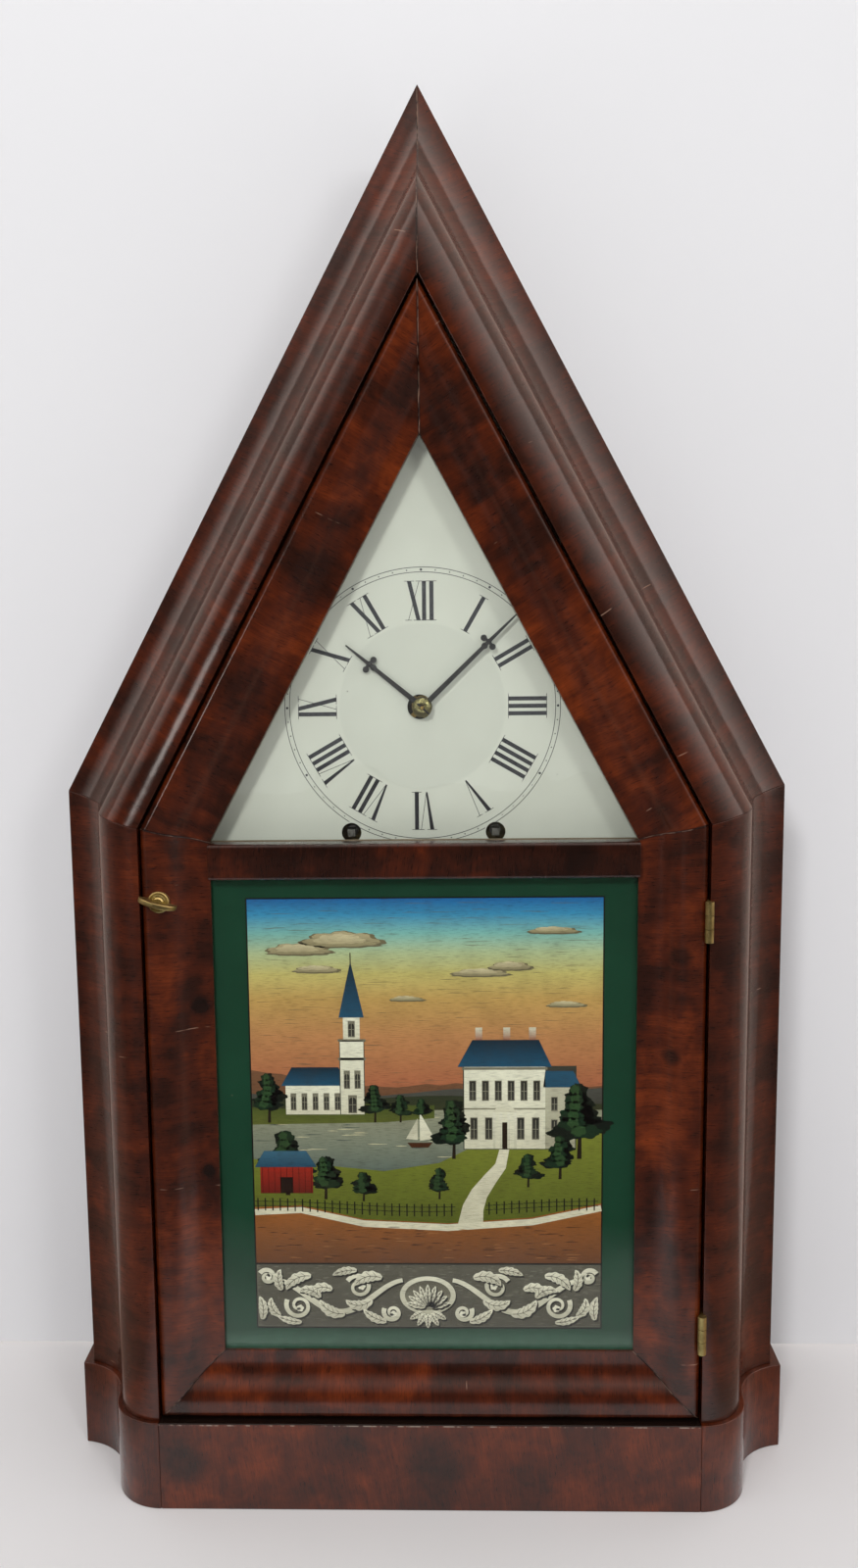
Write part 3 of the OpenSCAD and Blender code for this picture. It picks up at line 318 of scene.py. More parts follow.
def veneer(name, turn, seed, lift=0.0, worn=False, figure=1.0, slope=0.0, knots=(), joints=(), ledge_shade_top=None):
    """Polished crossbanded mahogany. turn lays the member's length along Z, and the grain runs across it.

    worn bares the wood, knots are dark spots (x, z, radius, depth), joints are the lines of mitres(), and
    ledge_shade_top is the height of a top edge that gets a painted shade line, with pale flakes under it, part
    worn polish and part painted glints.
    """
    look = bpy.context.scene.clock_finish
    made, tree, shader = material(name, Coat_Weight=1.0, Coat_Roughness=0.16, Coat_IOR=1.5,
                                  Specular_IOR_Level=0.08)
    shift = (0.37 * seed, 0.11 * seed, 0.53 * seed)
    at = tree.place((0, turn + slope, 0), shift)
    warp = tree.noise(at, 16.0, 2.0)
    flow = tree.vector("ADD", at, tree.vector("SCALE", tree.whole(z=warp), scale=0.010))

    def stretched(across, along, detail=2.0, rough=0.5, bend=0.0):
        return tree.noise(tree.vector("MULTIPLY", flow, (across, across, along)), 1.0, detail, rough, bend)

    def add(total, value, weight):
        return tree.add(total, tree.times(tree.math("SUBTRACT", value, 0.5), weight))

    # the figure, from broad clouds and flames down to streaks, fibres and pores
    cloud = stretched(34, 24, 3.0, 0.55, 0.5)
    flame = stretched(13, 52, 3.0, 0.6, 0.4)
    streak = stretched(34, 520, 3.0, 0.65)
    fibre = stretched(75, 2300, 2.0, 0.6)
    pore = stretched(240, 3300, 1.0)
    mottle = tree.noise(at, 85.0, 4.0, 0.62, 0.6)
    level = add(add(add(add(0.5 + lift, cloud, 0.95 * figure), flame, 0.7 * figure), streak, 0.24), mottle, 0.5)
    base = tree.ramp(level, [(0.12, look.wood_dark), (0.38, look.wood_deep), (0.56, look.wood_mid),
                             (0.88, look.wood_light)])
    fine = tree.mix(tree.span(fibre, 0.36, 0.74, 0.0, 0.38), base, look.wood_dark)
    dark = tree.mix(tree.span(pore, 0.62, 0.72, 0.0, 0.8), fine, tone(14, 7, 5))
    for x, z, r, deep in knots:
        near = tree.apart(tree.vector("MULTIPLY", tree.place(), (1, 0, 1)), (x, 0, z))
        ragged = tree.add(near, tree.times(streak, -r * 0.9))
        dark = tree.mix(tree.span(ragged, r * 0.1, r * 0.75, deep, 0.0), dark, tone(12, 9, 7))
    # short pale cracks along the grain
    crack = tree.node("ShaderNodeTexVoronoi", {"W": tree.parts(flow)[2], "Scale": 11.0}, voronoi_dimensions="1D",
                      feature="DISTANCE_TO_EDGE").outputs["Distance"]
    broken = tree.span(tree.noise(at, 75.0, 2.0), 0.6, 0.66)
    dark = tree.mix(tree.times(tree.span(crack, 0.0012, 0.0024, 0.75, 0.0), broken), dark, look.wood_worn)
    if joints:
        where = tree.parts(tree.place())
        x, near = tree.math("ABSOLUTE", where[0]), 1.0
        for px, pz, nx, nz in joints:
            off = tree.add(tree.times(x, nx), tree.times(where[2], nz))
            near = tree.math("MINIMUM", near, tree.math("ABSOLUTE", tree.math("SUBTRACT", off, nx * px + nz * pz)))
        near = tree.add(near, tree.times(tree.noise(at, 500.0, 2.0), 0.15 * MM))
        dark = tree.mix(tree.span(near, 0.2 * MM, 0.9 * MM, 0.75, 0.0), dark, tone(16, 9, 7))
        # the pale broken line along each joint is chipped polish and in part a painted highlight
        chip_and_glint = tree.span(tree.noise(at, 70.0, 3.0, 0.7), 0.5, 0.6)
        line = tree.span(near, 0.24 * MM, 0.42 * MM, 0.85, 0.0)
        dark = tree.mix(tree.times(line, chip_and_glint), dark, look.wood_worn)
    if ledge_shade_top:
        # painted shade: the top ledge and a dark line along its edge are darkened; just under it pale flakes, part
        # worn polish and part painted glints
        level = tree.parts(tree.place())[2]
        dark = tree.mix(tree.span(level, ledge_shade_top - 0.5 * MM, ledge_shade_top - 0.3 * MM), dark, tone(20, 12, 9))
        flake_and_glint = tree.span(tree.noise(at, 260.0, 3.0, 0.7), 0.5, 0.56, 0.0, 0.8)
        flake_and_glint = tree.times(flake_and_glint, tree.span(level, ledge_shade_top - 1.1 * MM, ledge_shade_top - 0.9 * MM))
        flake_and_glint = tree.times(flake_and_glint, tree.span(level, ledge_shade_top - 0.6 * MM, ledge_shade_top - 0.4 * MM, 1.0, 0.0))
        dark = tree.mix(flake_and_glint, dark, tone(150, 138, 126))
    if worn:
        rub = tree.noise(at, 150.0, 4.0, 0.7)
        dark = tree.mix(tree.span(rub, 0.52, 0.64, 0.0, 0.8), dark, look.wood_worn)
    tree.put(shader.inputs["Base Color"], dark)
    tree.put(shader.inputs["Roughness"], tree.span(streak, 0.2, 0.8, 0.5, 0.38))
    # the polish lies in soft waves and is finely crazed
    wave = tree.noise(at, 60.0, 2.0)
    craze = tree.noise(at, 1000.0, 2.0)
    bump = tree.bump(tree.add(wave, tree.times(craze, 0.05)), 0.22 * MM)
    tree.put(shader.inputs["Normal"], bump)
    tree.put(shader.inputs["Coat Normal"], bump)
    return made


def banded(name, turn, seed, lift=0.0, ledge_shade_top=None, **more):
    """The veneer of a strip, and the same veneer worn down to the wood for its edges."""
    return [veneer(name, turn, seed, lift, ledge_shade_top=ledge_shade_top, **more),
            veneer(f"{name}_worn", turn, seed, worn=True, ledge_shade_top=ledge_shade_top)]


def metal(name, shade, rough=0.35, tarnish=(60, 48, 26), amount=0.6):
    """Aged metal with soft stains and a fine brushed grain."""
    made, tree, shader = material(name, Metallic=1.0)
    at = tree.place()
    stain = tree.noise(at, 160.0, 4.0, 0.65)
    speckle = tree.noise(at, 900.0, 2.0)
    tint = tree.mix(tree.span(stain, 0.42, 0.72, 0.0, amount), shade, tone(*tarnish))
    tree.put(shader.inputs["Base Color"], tint)
    tree.put(shader.inputs["Roughness"], tree.span(stain, 0.3, 0.7, rough, rough + 0.25))
    tree.put(shader.inputs["Normal"], tree.bump(speckle, 0.02 * MM))
    return made


def painted(name, shade, speck=(120, 116, 100), rough=0.42, dust=0.12, gloss=0.4):
    """Old paint with faint stains and a few specks."""
    made, tree, shader = material(name, Specular_IOR_Level=gloss)
    at = tree.place()
    stain = tree.noise(at, 22.0, 4.0, 0.6)
    dots = tree.node("ShaderNodeTexVoronoi", {"Vector": at, "Scale": 95.0}).outputs["Distance"]
    rare = tree.noise(at, 60.0, 1.0)
    tint = tree.mix(tree.span(stain, 0.35, 0.75, 0.0, dust), shade, tone(*speck))
    spot = tree.times(tree.span(dots, 0.03, 0.045, 1.0, 0.0), tree.span(rare, 0.56, 0.6))
    tint = tree.mix(tree.times(spot, 0.7), tint, tone(90, 84, 70))
    tree.put(shader.inputs["Base Color"], tint)
    tree.put(shader.inputs["Roughness"], tree.span(stain, 0.3, 0.7, rough, rough + 0.12))
    tree.put(shader.inputs["Normal"], tree.bump(tree.noise(at, 240.0, 3.0), 0.03 * MM))
    return made


def pine(name, shade, turn=0.0):
    """Plain old softwood with straight grain along Z."""
    made, tree, shader = material(name)
    at = tree.place((0, turn, 0))
    rings = tree.noise(tree.vector("MULTIPLY", at, (70, 70, 3)), 1.0, 3.0, 0.6, 1.2)
    fibre = tree.noise(tree.vector("MULTIPLY", at, (1200, 1200, 30)), 1.0, 2.0)
    stain = tree.noise(at, 9.0, 3.0)
    dark = tuple(c * 0.45 for c in shade[:3]) + (1.0,)
    tint = tree.mix(tree.span(rings, 0.38, 0.66, 0.0, 0.7), shade, dark)
    tint = tree.mix(tree.span(stain, 0.35, 0.7, 0.0, 0.5), tint, tone(84, 58, 34))
    tint = tree.mix(tree.span(fibre, 0.3, 0.8, 0.0, 0.3), tint, dark)
    tree.put(shader.inputs["Base Color"], tint)
    tree.put(shader.inputs["Roughness"], tree.span(fibre, 0.2, 0.8, 0.6, 0.8))
    tree.put(shader.inputs["Normal"], tree.bump(fibre, 0.06 * MM))
    return made


# ---------------------------------------------------------------- meshes


SMOOTH = 40.0
SMOOTH_TURNED = 32.0


def shape(name, points, faces):
    """A mesh of points and faces."""
    mesh = bpy.data.meshes.new(name)
    mesh.from_pydata(points, [], faces)
    return mesh


def slip_faces(n, base=0):
    """The faces of a closed slip: its two outlines of n points each follow one another from base on."""
    walls = [(base + i, base + n + i, base + n + (i + 1) % n, base + (i + 1) % n) for i in range(n)]
    return [list(range(base, base + n)), list(range(base + 2 * n - 1, base + n - 1, -1))] + walls


def outward(mesh, smooth=SMOOTH, merge=True):
    """The closed mesh with its faces turned outwards, smooth but for its sharp edges."""
    work = bmesh.new()
    work.from_mesh(mesh)
    if merge:
        bmesh.ops.remove_doubles(work, verts=work.verts, dist=TINY / 10)
    bmesh.ops.recalc_face_normals(work, faces=work.faces)
    work.to_mesh(mesh)
    work.free()
    return smoothed(mesh, smooth)


def smoothed(mesh, smooth):
    """The mesh with smooth faces and with the edges sharper than an angle kept."""
    mesh.shade_smooth()
    mesh.set_sharp_from_angle(angle=math.radians(smooth))
    return mesh


def placed(name, data):
    """A new object in the scene."""
    made = bpy.data.objects.new(name, data)
    bpy.context.scene.collection.objects.link(made)
    return made


def evaluated(made):
    """A plain mesh of an object as its modifiers leave it."""
    graph = bpy.context.evaluated_depsgraph_get()
    return bpy.data.meshes.new_from_object(made.evaluated_get(graph))


def piece(name, mesh, body, materials, stands_for=()):
    """Puts a mesh in the scene as a piece of one body of the frame."""
    made = placed(name, mesh)
    for one in materials:
        mesh.materials.append(one)
    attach(made, body)
    if stands_for:
        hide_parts(*stands_for)
    return made


def arris(made, width):
    """Rounds the edges of a piece, and gives them its second material, the worn one."""
    bevel = made.modifiers.new("arris", "BEVEL")
    bevel.width = width
    bevel.segments = 2
    bevel.limit_method = "ANGLE"
    bevel.angle_limit = math.radians(38.0)
    bevel.material = 1
    bevel.harden_normals = True
    bevel.use_clamp_overlap = True


def pocket(made, lo, hi):
    """Cuts a box out of a piece."""
    ends = tuple(zip(lo, hi))
    points = [(x, y, z) for x in ends[0] for y in ends[1] for z in ends[2]]
    faces = [(0, 1, 3, 2), (4, 6, 7, 5), (0, 4, 5, 1), (2, 3, 7, 6), (0, 2, 6, 4), (1, 5, 7, 3)]
    tool = placed("pocket", outward(shape("pocket", points, faces)))
    cut = made.modifiers.new("pocket", "BOOLEAN")
    cut.object = tool
    cut.solver = "EXACT"
    mesh = evaluated(made)
    made.modifiers.remove(cut)
    made.data = outward(mesh, merge=False)
    bpy.data.objects.remove(tool)


def rule(name, wanted):
    """A new geometry tree with named inputs: returns it, its helper and its inputs."""
    group = bpy.data.node_groups.new(name, "GeometryNodeTree")
    for socket, kind in wanted:
        group.interface.new_socket(name=socket, in_out="INPUT", socket_type="NodeSocket" + kind)
    group.interface.new_socket(name="Geometry", in_out="OUTPUT", socket_type="NodeSocketGeometry")
    tree = Tree(group)
    return group, tree, tree.node("NodeGroupInput").outputs


def close_rule(tree, geometry, finish):
    """Ends a geometry tree in real geometry with its material."""
    real = tree.node("GeometryNodeRealizeInstances", {0: geometry}).outputs[0]
    done = tree.node("GeometryNodeSetMaterial", {0: real, "Material": finish}).outputs[0]
    tree.node("NodeGroupOutput", {0: done})


def grown(base, group, values):
    """The plain mesh that a geometry tree makes from a base mesh."""
    holder = placed("holder", base)
    modifier = holder.modifiers.new("rule", "NODES")
    modifier.node_group = group
    for item in group.interface.items_tree:
        if item.in_out == "INPUT" and item.name in values:
            modifier[item.identifier] = values[item.name]
    mesh = evaluated(holder)
    bpy.data.objects.remove(holder)
    return outward(mesh)


def member_rule():
    """A strip of wood: a section drawn as (distance inwards, depth) is run from a start line to an end line."""
    found = bpy.data.node_groups.get("Wood member")
    if found:
        return found
    group, tree, given = rule("Wood member", [
        ("Geometry", "Geometry"), ("Start", "Vector"), ("Start slope", "Vector"), ("End", "Vector"),
        ("End slope", "Vector"), ("Material", "Material")])
    section = given["Geometry"]
    run = tree.node("GeometryNodeExtrudeMesh", {"Mesh": section, "Offset": tree.whole(z=1.0), "Individual": False})
    cap = tree.node("GeometryNodeFlipFaces", {0: section}).outputs[0]
    joined = tree.node("GeometryNodeJoinGeometry")
    tree.put(joined.inputs[0], run.outputs[0])
    tree.put(joined.inputs[0], cap)
    closed = tree.node("GeometryNodeMergeByDistance", {0: joined.outputs[0], "Distance": TINY}).outputs[0]
    place = tree.parts(tree.node("GeometryNodeInputPosition").outputs[0])
    low = tree.vector("ADD", given["Start"], tree.vector("SCALE", given["Start slope"], scale=place[0]))
    high = tree.vector("ADD", given["End"], tree.vector("SCALE", given["End slope"], scale=place[0]))
    way = tree.vector("ADD", low, tree.vector("SCALE", tree.vector("SUBTRACT", high, low), scale=place[2]))
    across = tree.vector("ADD", way, tree.whole(y=place[1]))
    moved = tree.node("GeometryNodeSetPosition", {0: closed, "Position": across})
    close_rule(tree, moved.outputs[0], given["Material"])
    return group


def member(name, section, lines, body, woods, stands_for, side=1):
    """One mitred strip of the case or the door. lines are its start and end, each a point and a slope."""
    base = shape(name, [(d, y, 0.0) for d, y in section], [list(range(len(section)))])
    (start, start_slope), (end, end_slope) = lines
    values = {"Material": woods[0]}
    for key, value in (("Start", start), ("Start slope", start_slope), ("End", end), ("End slope", end_slope)):
        values[key] = (value[0] * side, FRONT if "slope" not in key else 0.0, value[1])
    return piece(name, grown(base, member_rule(), values), body, woods[1:], stands_for)


def level_lines(lo, hi):
    """The two ends of a strip that lies level, its section drawn in height."""
    return ((lo.x, 0.0), (0, 1)), ((hi.x, 0.0), (0, 1))


def corner_line(d):
    """The mitre at the eave of an outline that lies d inside the case."""
    return (side_x(d), eave_z(d)), (-1, -math.tan(ROOF / 2))


def top_line(d):
    """The mitre at the point of an outline that lies d inside the case."""
    return (0, point_z(d)), (0, -1 / math.sin(ROOF))


def arc(centre, radius, start, end, steps):
    """Points along part of a circle, between two angles in degrees."""
    turns = [math.radians(start + (end - start) * i / steps) for i in range(steps + 1)]
    return [(centre[0] + radius * math.cos(a), centre[1] + radius * math.sin(a)) for a in turns]


def unique(points):
    """The closed outline without points that lie on the one before."""
    kept = []
    for p in points:
        if not kept or math.dist(p, kept[-1]) > TINY:
            kept.append(p)
    if math.dist(kept[0], kept[-1]) < TINY:
        kept.pop()
    return kept


def moulding_section(grow=0.0, width=None):
    """Section of the front moulding as (distance from the outer face, depth), with the cove outside the roll."""
    case = bpy.context.scene.clock_case
    roll, cove = case.roll + grow, case.cove - grow
    width = width or case.moulding
    n = case.steps
    # drawn from the inner edge outwards, x measured from the door opening
    reach = case.roll + case.cove - width
    turn = math.degrees(math.asin(min(1.0, math.sqrt(max(0.0, 1 - (reach / cove) ** 2)))))
    points = arc((0, case.roll), roll, -90, 0, n)
    points += arc((case.roll + case.cove, case.roll), cove, 180, 180 - turn, n)
    points += [(width, case.depth), (0, case.depth)]
    return unique([(case.moulding - x, y) for x, y in points])


def latch_slot(made):
    """Cuts the slot that the tongue of the latch turns into."""
    room = 0.4 * MM
    deep = 4.8 * MM
    half = (TONGUE_HI.x - TONGUE_LO.x) / 2
    reach = TONGUE_HI.z - half - TONGUE_LO.z + 1 * MM
    front = TONGUE_LO.y - room
    pocket(made, (TONGUE_LO.x + half - reach, front, TONGUE_LO.z),
           (-SIDE_LO.x + 2 * MM, front + deep, TONGUE_HI.z + 0.5 * MM))


# ---------------------------------------------------------------- operators


class CLOCK_OT_moulding(bpy.types.Operator):
    """Make the four mitred lengths of the front moulding"""
    bl_idname = "clock.moulding"
    bl_label = "Front Moulding"

    def execute(self, context):
        case = context.scene.clock_case
        section = moulding_section()
        foot = (HALF, PLINTH_HI.z), (-1, 0)
        for side, word in SIDES:
            for lines, part, turn, kind in (((foot, corner_line(0)), "side", 0.0, 1),
                                            ((corner_line(0), top_line(0)), "roof", ROOF, 2)):
                woods = banded(f"mahogany_{part}_{word}", turn * side, 3 * side + kind, -0.05, figure=0.65,
                               joints=mitres()[2:])
                made = member(f"front_moulding_{part}_{word}", section, lines, "case", woods,
                              (f"moulding_{part}_{word}",), side)
                if (part, word) == ("side", "left"):
                    latch_slot(made)
                arris(made, case.arris)
        return {"FINISHED"}


class CLOCK_OT_plinth(bpy.types.Operator):
    """Make the plinth front and its two corner blocks"""
    bl_idname = "clock.plinth"
    bl_label = "Plinth"

    def execute(self, context):
        case = context.scene.clock_case
        width = BLOCK_HI.x - BLOCK_LO.x
        outer, back = case.moulding - width, BACK - FRONT
        section = unique(moulding_section(case.forward, width)[:-2] + [
            (outer, case.depth), (outer, back), (0.0, back), (0.0, case.depth), (case.moulding, case.depth)])
        foot, head = ((HALF, 0.0), (-1, 0)), ((HALF, PLINTH_HI.z), (-1, 0))
        for side, word in SIDES:
            woods = banded(f"mahogany_block_{word}", QUARTER, 11 + side, 0.08, figure=0.6)
            arris(member(f"plinth_corner_{word}", section, (foot, head), "case", woods,
                         (f"plinth_block_{word}",), side), case.arris)
        lo, hi = PLINTH_LO, PLINTH_HI
        section = [(lo.z, lo.y - FRONT), (hi.z, lo.y - FRONT), (hi.z, hi.y - FRONT), (lo.z, hi.y - FRONT)]
        # hi.z gives the top ledge of the board its painted shade line and pale flakes, part worn polish and part
        # painted glints
        woods = banded("mahogany_plinth", QUARTER, 17, 0.08, hi.z, figure=0.6, slope=0.12,
                       knots=((-0.118, 0.0235, 0.012, 0.7), (0.0035, 0.025, 0.016, 0.6)))
        arris(member("plinth_board", section, level_lines(lo, hi), "case", woods, ("plinth_front",)), case.arris)
        return {"FINISHED"}


def frame_section():
    """Section of the door frame as (distance inwards, depth)."""
    door = bpy.context.scene.clock_door
    face, back = door.set_back, door.set_back + door.thick
    half = math.degrees(math.acos(1 - door.drop / 2 / door.ogee))
    span = 2 * door.ogee * math.sin(math.radians(half))
    points = arc((door.edge, face + door.edge), door.edge, 180, 270, 8)
    points += arc((door.crown, face + door.ogee), door.ogee, -90, -90 + half, 14)
    points += arc((door.crown + span, face + door.drop - door.ogee), door.ogee, 90 + half, 90, 14)
    wide = FRAME_W + door.veneer
    rebate = wide - door.lap
    points += [(wide, face + door.drop), (wide, door.glass), (rebate, door.glass), (rebate, back), (0, back)]
    return unique(points)


# the dark knots of the two stiles, as (x, z, radius, depth)
STILE_KNOTS = {1: ((0.1165, 0.27, 0.005, 0.7), (0.113, 0.222, 0.004, 0.7)),
               -1: ((-0.104, 0.246, 0.005, 0.85), (-0.103, 0.166, 0.004, 0.85))}


class CLOCK_OT_door(bpy.types.Operator):
    """Make the stiles, rakes and rails of the door"""
    bl_idname = "clock.door"
    bl_label = "Door Frame"

    def execute(self, context):
        case, door = context.scene.clock_case, context.scene.clock_door
        section = frame_section()
        worn = case.arris * 0.6
        d = DOOR_IN - door.veneer
        low = STILE_LO.z - door.veneer
        left, right = ((-side_x(d), low), (1, 1)), ((side_x(d), low), (-1, 1))
        for side, word in SIDES:
            for lines, part, turn, kind, lift, knots in (
                    ((right, corner_line(d)), "stile", 0.0, 21, 0.02, STILE_KNOTS[side]),
                    ((corner_line(d), top_line(d)), "rake", ROOF, 32, 0.0, ())):
                woods = banded(f"mahogany_{part}_{word}", turn * side, 5 * side + kind,
                               lift + 0.02 * (side > 0), slope=0.06 * (side > 0), knots=knots, joints=mitres())
                arris(member(f"door_frame_{part}_{word}", section, lines, "door", woods,
                             (f"door_{part}_{word}",), side), worn)
        woods = banded("mahogany_bottom_rail", QUARTER, 41, joints=mitres()[1:2])
        arris(member("door_frame_rail_bottom", section, (left, right), "door", woods, ("door_rail_bottom",)), worn)
        e, y = door.mid_edge, RAIL_LO.y - FRONT
        zl, zh, back = RAIL_LO.z, RAIL_HI.z, RAIL_HI.y - FRONT
        lap = door.lap
        section = arc((zl + e, y + e), e, 180, 270, 6) + arc((zh - e, y + e), e, 270, 360, 6)
        section += [(zh, door.glass), (zh - lap, door.glass), (zh - lap, back), (zl + lap, back),
                    (zl + lap, door.glass), (zl, door.glass)]
        woods = banded("mahogany_middle_rail", QUARTER, 47, -0.12)
        arris(member("door_frame_rail_middle", unique(section), level_lines(RAIL_LO, RAIL_HI), "door", woods,
                     ("door_rail_middle",)), case.arris * 0.5)
        return {"FINISHED"}


# ---- dial


# for each letter its width, and its strokes with the places of their tops and feet, all in stroke pitches
STROKES = {
    "I": (1.0, [("thick", 0.0, 0.0)]),
    "V": (1.75, [("thick", -0.72, 0.0), ("hair", 0.78, 0.06)]),
    "X": (1.75, [("thick", -0.62, 0.62), ("hair", 0.72, -0.72)]),
}


def numeral(text, dial):
    """The strokes and serifs of a Roman numeral in its own upright frame, as flat outlines."""
    serif, gap = 1.35 * MM, 0.2 * MM
    height, pitch = dial.head - dial.foot, dial.pitch
    widths = [STROKES[c][0] * pitch for c in text]
    x = -sum(widths) / 2
    shapes, serifs = [], {"top": [], "foot": []}
    h2, w, t = height / 2, dial.stroke / 2, dial.hair / 2
    for c, width in zip(text, widths):
        mid = x + width / 2
        for kind, top, foot in STROKES[c][1]:
            a, b = mid + top * pitch, mid + foot * pitch
            half = w if kind == "thick" else t
            fine, broad = (0.35, 0.45) if c == "V" and kind == "thick" else (1.0, 1.0)
            shapes.append([(a - half, h2), (a + half, h2), (b + broad * half, -h2), (b - fine * half, -h2)])
            serifs["top"].append((a - half, a + half))
            if c != "V":
                serifs["foot"].append((b - half, b + half))
        x += width
    for z, key in ((h2, "top"), (-h2, "foot")):
        spans = sorted((lo - serif, hi + serif) for lo, hi in serifs[key])
        merged = []
        for lo, hi in spans:
            if merged and lo < merged[-1][1] + gap:
                merged[-1][1] = max(hi, merged[-1][1])
            else:
                merged.append([lo, hi])
        for lo, hi in merged:
            shapes.append([(lo, z - t), (hi, z - t), (hi, z + t), (lo, z + t)])
    return shapes


def prisms(name, outlines, y0, y1):
    """Flat outlines in width and height, made into thin closed solids between two depths."""
    points, faces = [], []
    for outline in outlines:
        faces += slip_faces(len(outline), len(points))
        points += [(x, y0, z) for x, z in outline] + [(x, y1, z) for x, z in outline]
    return outward(shape(name, points, faces), merge=False)


def dots_rule():
    """Round dots of print on a ring, with larger ones at every fifth place."""
    group, tree, given = rule("Ring of dots", [
        ("Geometry", "Geometry"), ("Radius", "Float"), ("Count", "Int"), ("Dot", "Float"), ("Large dot", "Float"),
        ("Thickness", "Float"), ("Hole", "Vector"), ("Hole radius", "Float"), ("Material", "Material")])
    ring = tree.node("GeometryNodeMeshCircle", {"Vertices": given["Count"], "Radius": given["Radius"]})
    dot = tree.node("GeometryNodeMeshCylinder", {"Vertices": 12, "Radius": 1.0, "Depth": 1.0}).outputs[0]
    index = tree.node("GeometryNodeInputIndex").outputs[0]
    fifth = tree.math("COMPARE", tree.math("MODULO", index, 5.0), 0.0)
    fifth.node.inputs[2].default_value = 0.1
    wide = tree.math("MULTIPLY_ADD", fifth, tree.math("SUBTRACT", given["Large dot"], given["Dot"]))
    tree.put(wide.node.inputs[2], given["Dot"])
    spot = tree.parts(tree.node("GeometryNodeInputPosition").outputs[0])
    off = tree.apart(tree.whole(spot[0], tree.math("ABSOLUTE", spot[1])), given["Hole"])
    spread = tree.node("GeometryNodeInstanceOnPoints", {
        "Points": ring.outputs[0], "Instance": dot, "Scale": tree.whole(wide, wide, given["Thickness"]),
        "Selection": tree.math("GREATER_THAN", off, given["Hole radius"])}).outputs[0]
    close_rule(tree, spread, given["Material"])
    return group


class CLOCK_OT_dial(bpy.types.Operator):
    """Finish the dial plate and print its minute ring and numerals"""
    bl_idname = "clock.dial"
    bl_label = "Dial"

    def execute(self, context):
        dial, look = context.scene.clock_dial, context.scene.clock_finish
        paint = painted("dial_paint", look.dial, gloss=0.15)
        tree, shader = opened(paint)
        # the middle of the dial is a little darker, up to the feet of the numerals
        away = tree.apart(tree.place(), tuple(CENTRE))
        middle = tree.span(away, dial.foot - 2 * MM, dial.foot - 0.8 * MM, 0.13, 0.0)
        tree.glaze(shader, middle, tone(146, 150, 142))
        ink, tree, shader = material("dial_ink", Roughness=0.45)
        fade = tree.span(tree.noise(tree.place(), 700.0, 3.0, 0.6), 0.5, 0.8, 0.0, 0.15)
        tree.put(shader.inputs["Base Color"], tree.mix(fade, look.ink, tone(110, 110, 108)))
        finish_node("dial_plate", paint)
        y0, y1 = DIAL_FACE - dial.ink, DIAL_FACE
        strokes = []
        middle = (dial.head + dial.foot) / 2
        for hour, text in enumerate(("XII", "I", "II", "III", "IIII", "V", "VI", "VII", "VIII", "IX", "X", "XI")):
            a = math.radians(-30 * hour)
            c, s = math.cos(a), math.sin(a)
            strokes += [[(x * c - (z + middle) * s, x * s + (z + middle) * c + CENTRE.z) for x, z in stroke]
                        for stroke in numeral(text, dial)]
        piece("dial_numerals", prisms("dial_numerals", strokes, y0, y1), "case", [ink])
        rings = []
        lo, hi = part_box("strike_winding_arbor")
        hole = (abs(lo.x + hi.x) / 2, (lo.z + hi.z) / 2 - CENTRE.z)
        n, half = 360, dial.line / 2
        for radius in (dial.ring_out, dial.ring_in):
            for i in range(n):
                a, b = math.tau * i / n, math.tau * (i + 1) / n
                if math.dist((abs(radius * math.sin(a)), radius * math.cos(a)), hole) < dial.hole:
                    continue
                rings.append([((radius + o) * math.sin(q), (radius + o) * math.cos(q) + CENTRE.z)
                              for o, q in ((-half, a), (half, a), (half, b), (-half, b))])
        piece("dial_ring", prisms("dial_ring", rings, y0, y1), "case", [ink])
        values = {"Radius": (dial.ring_out + dial.ring_in) / 2, "Count": 60, "Dot": dial.dot,
                  "Large dot": dial.dot_five, "Thickness": dial.ink, "Hole": (hole[1], hole[0], 0.0),
                  "Hole radius": dial.hole, "Material": ink}
        mesh = grown(bpy.data.meshes.new("dots"), dots_rule(), values)
        upright = TO_FRONT @ Matrix.Rotation(QUARTER, 4, "Z")
        mesh.transform(Matrix.Translation((0, (y0 + y1) / 2, CENTRE.z)) @ upright)
        piece("dial_dots", outward(mesh), "case", [])
        return {"FINISHED"}


# ---- painted tablet

# the sides of the print in millimetres, and its repeated colours
LEFT, RIGHT = -82.0, 82.5
WHITE, DULL, SLATE, BLUE = (232, 229, 206), (208, 203, 178), (26, 42, 54), (34, 78, 104)
LEDGE, EDGE, SHADE = (120, 116, 98), (60, 60, 52), (26, 25, 20)


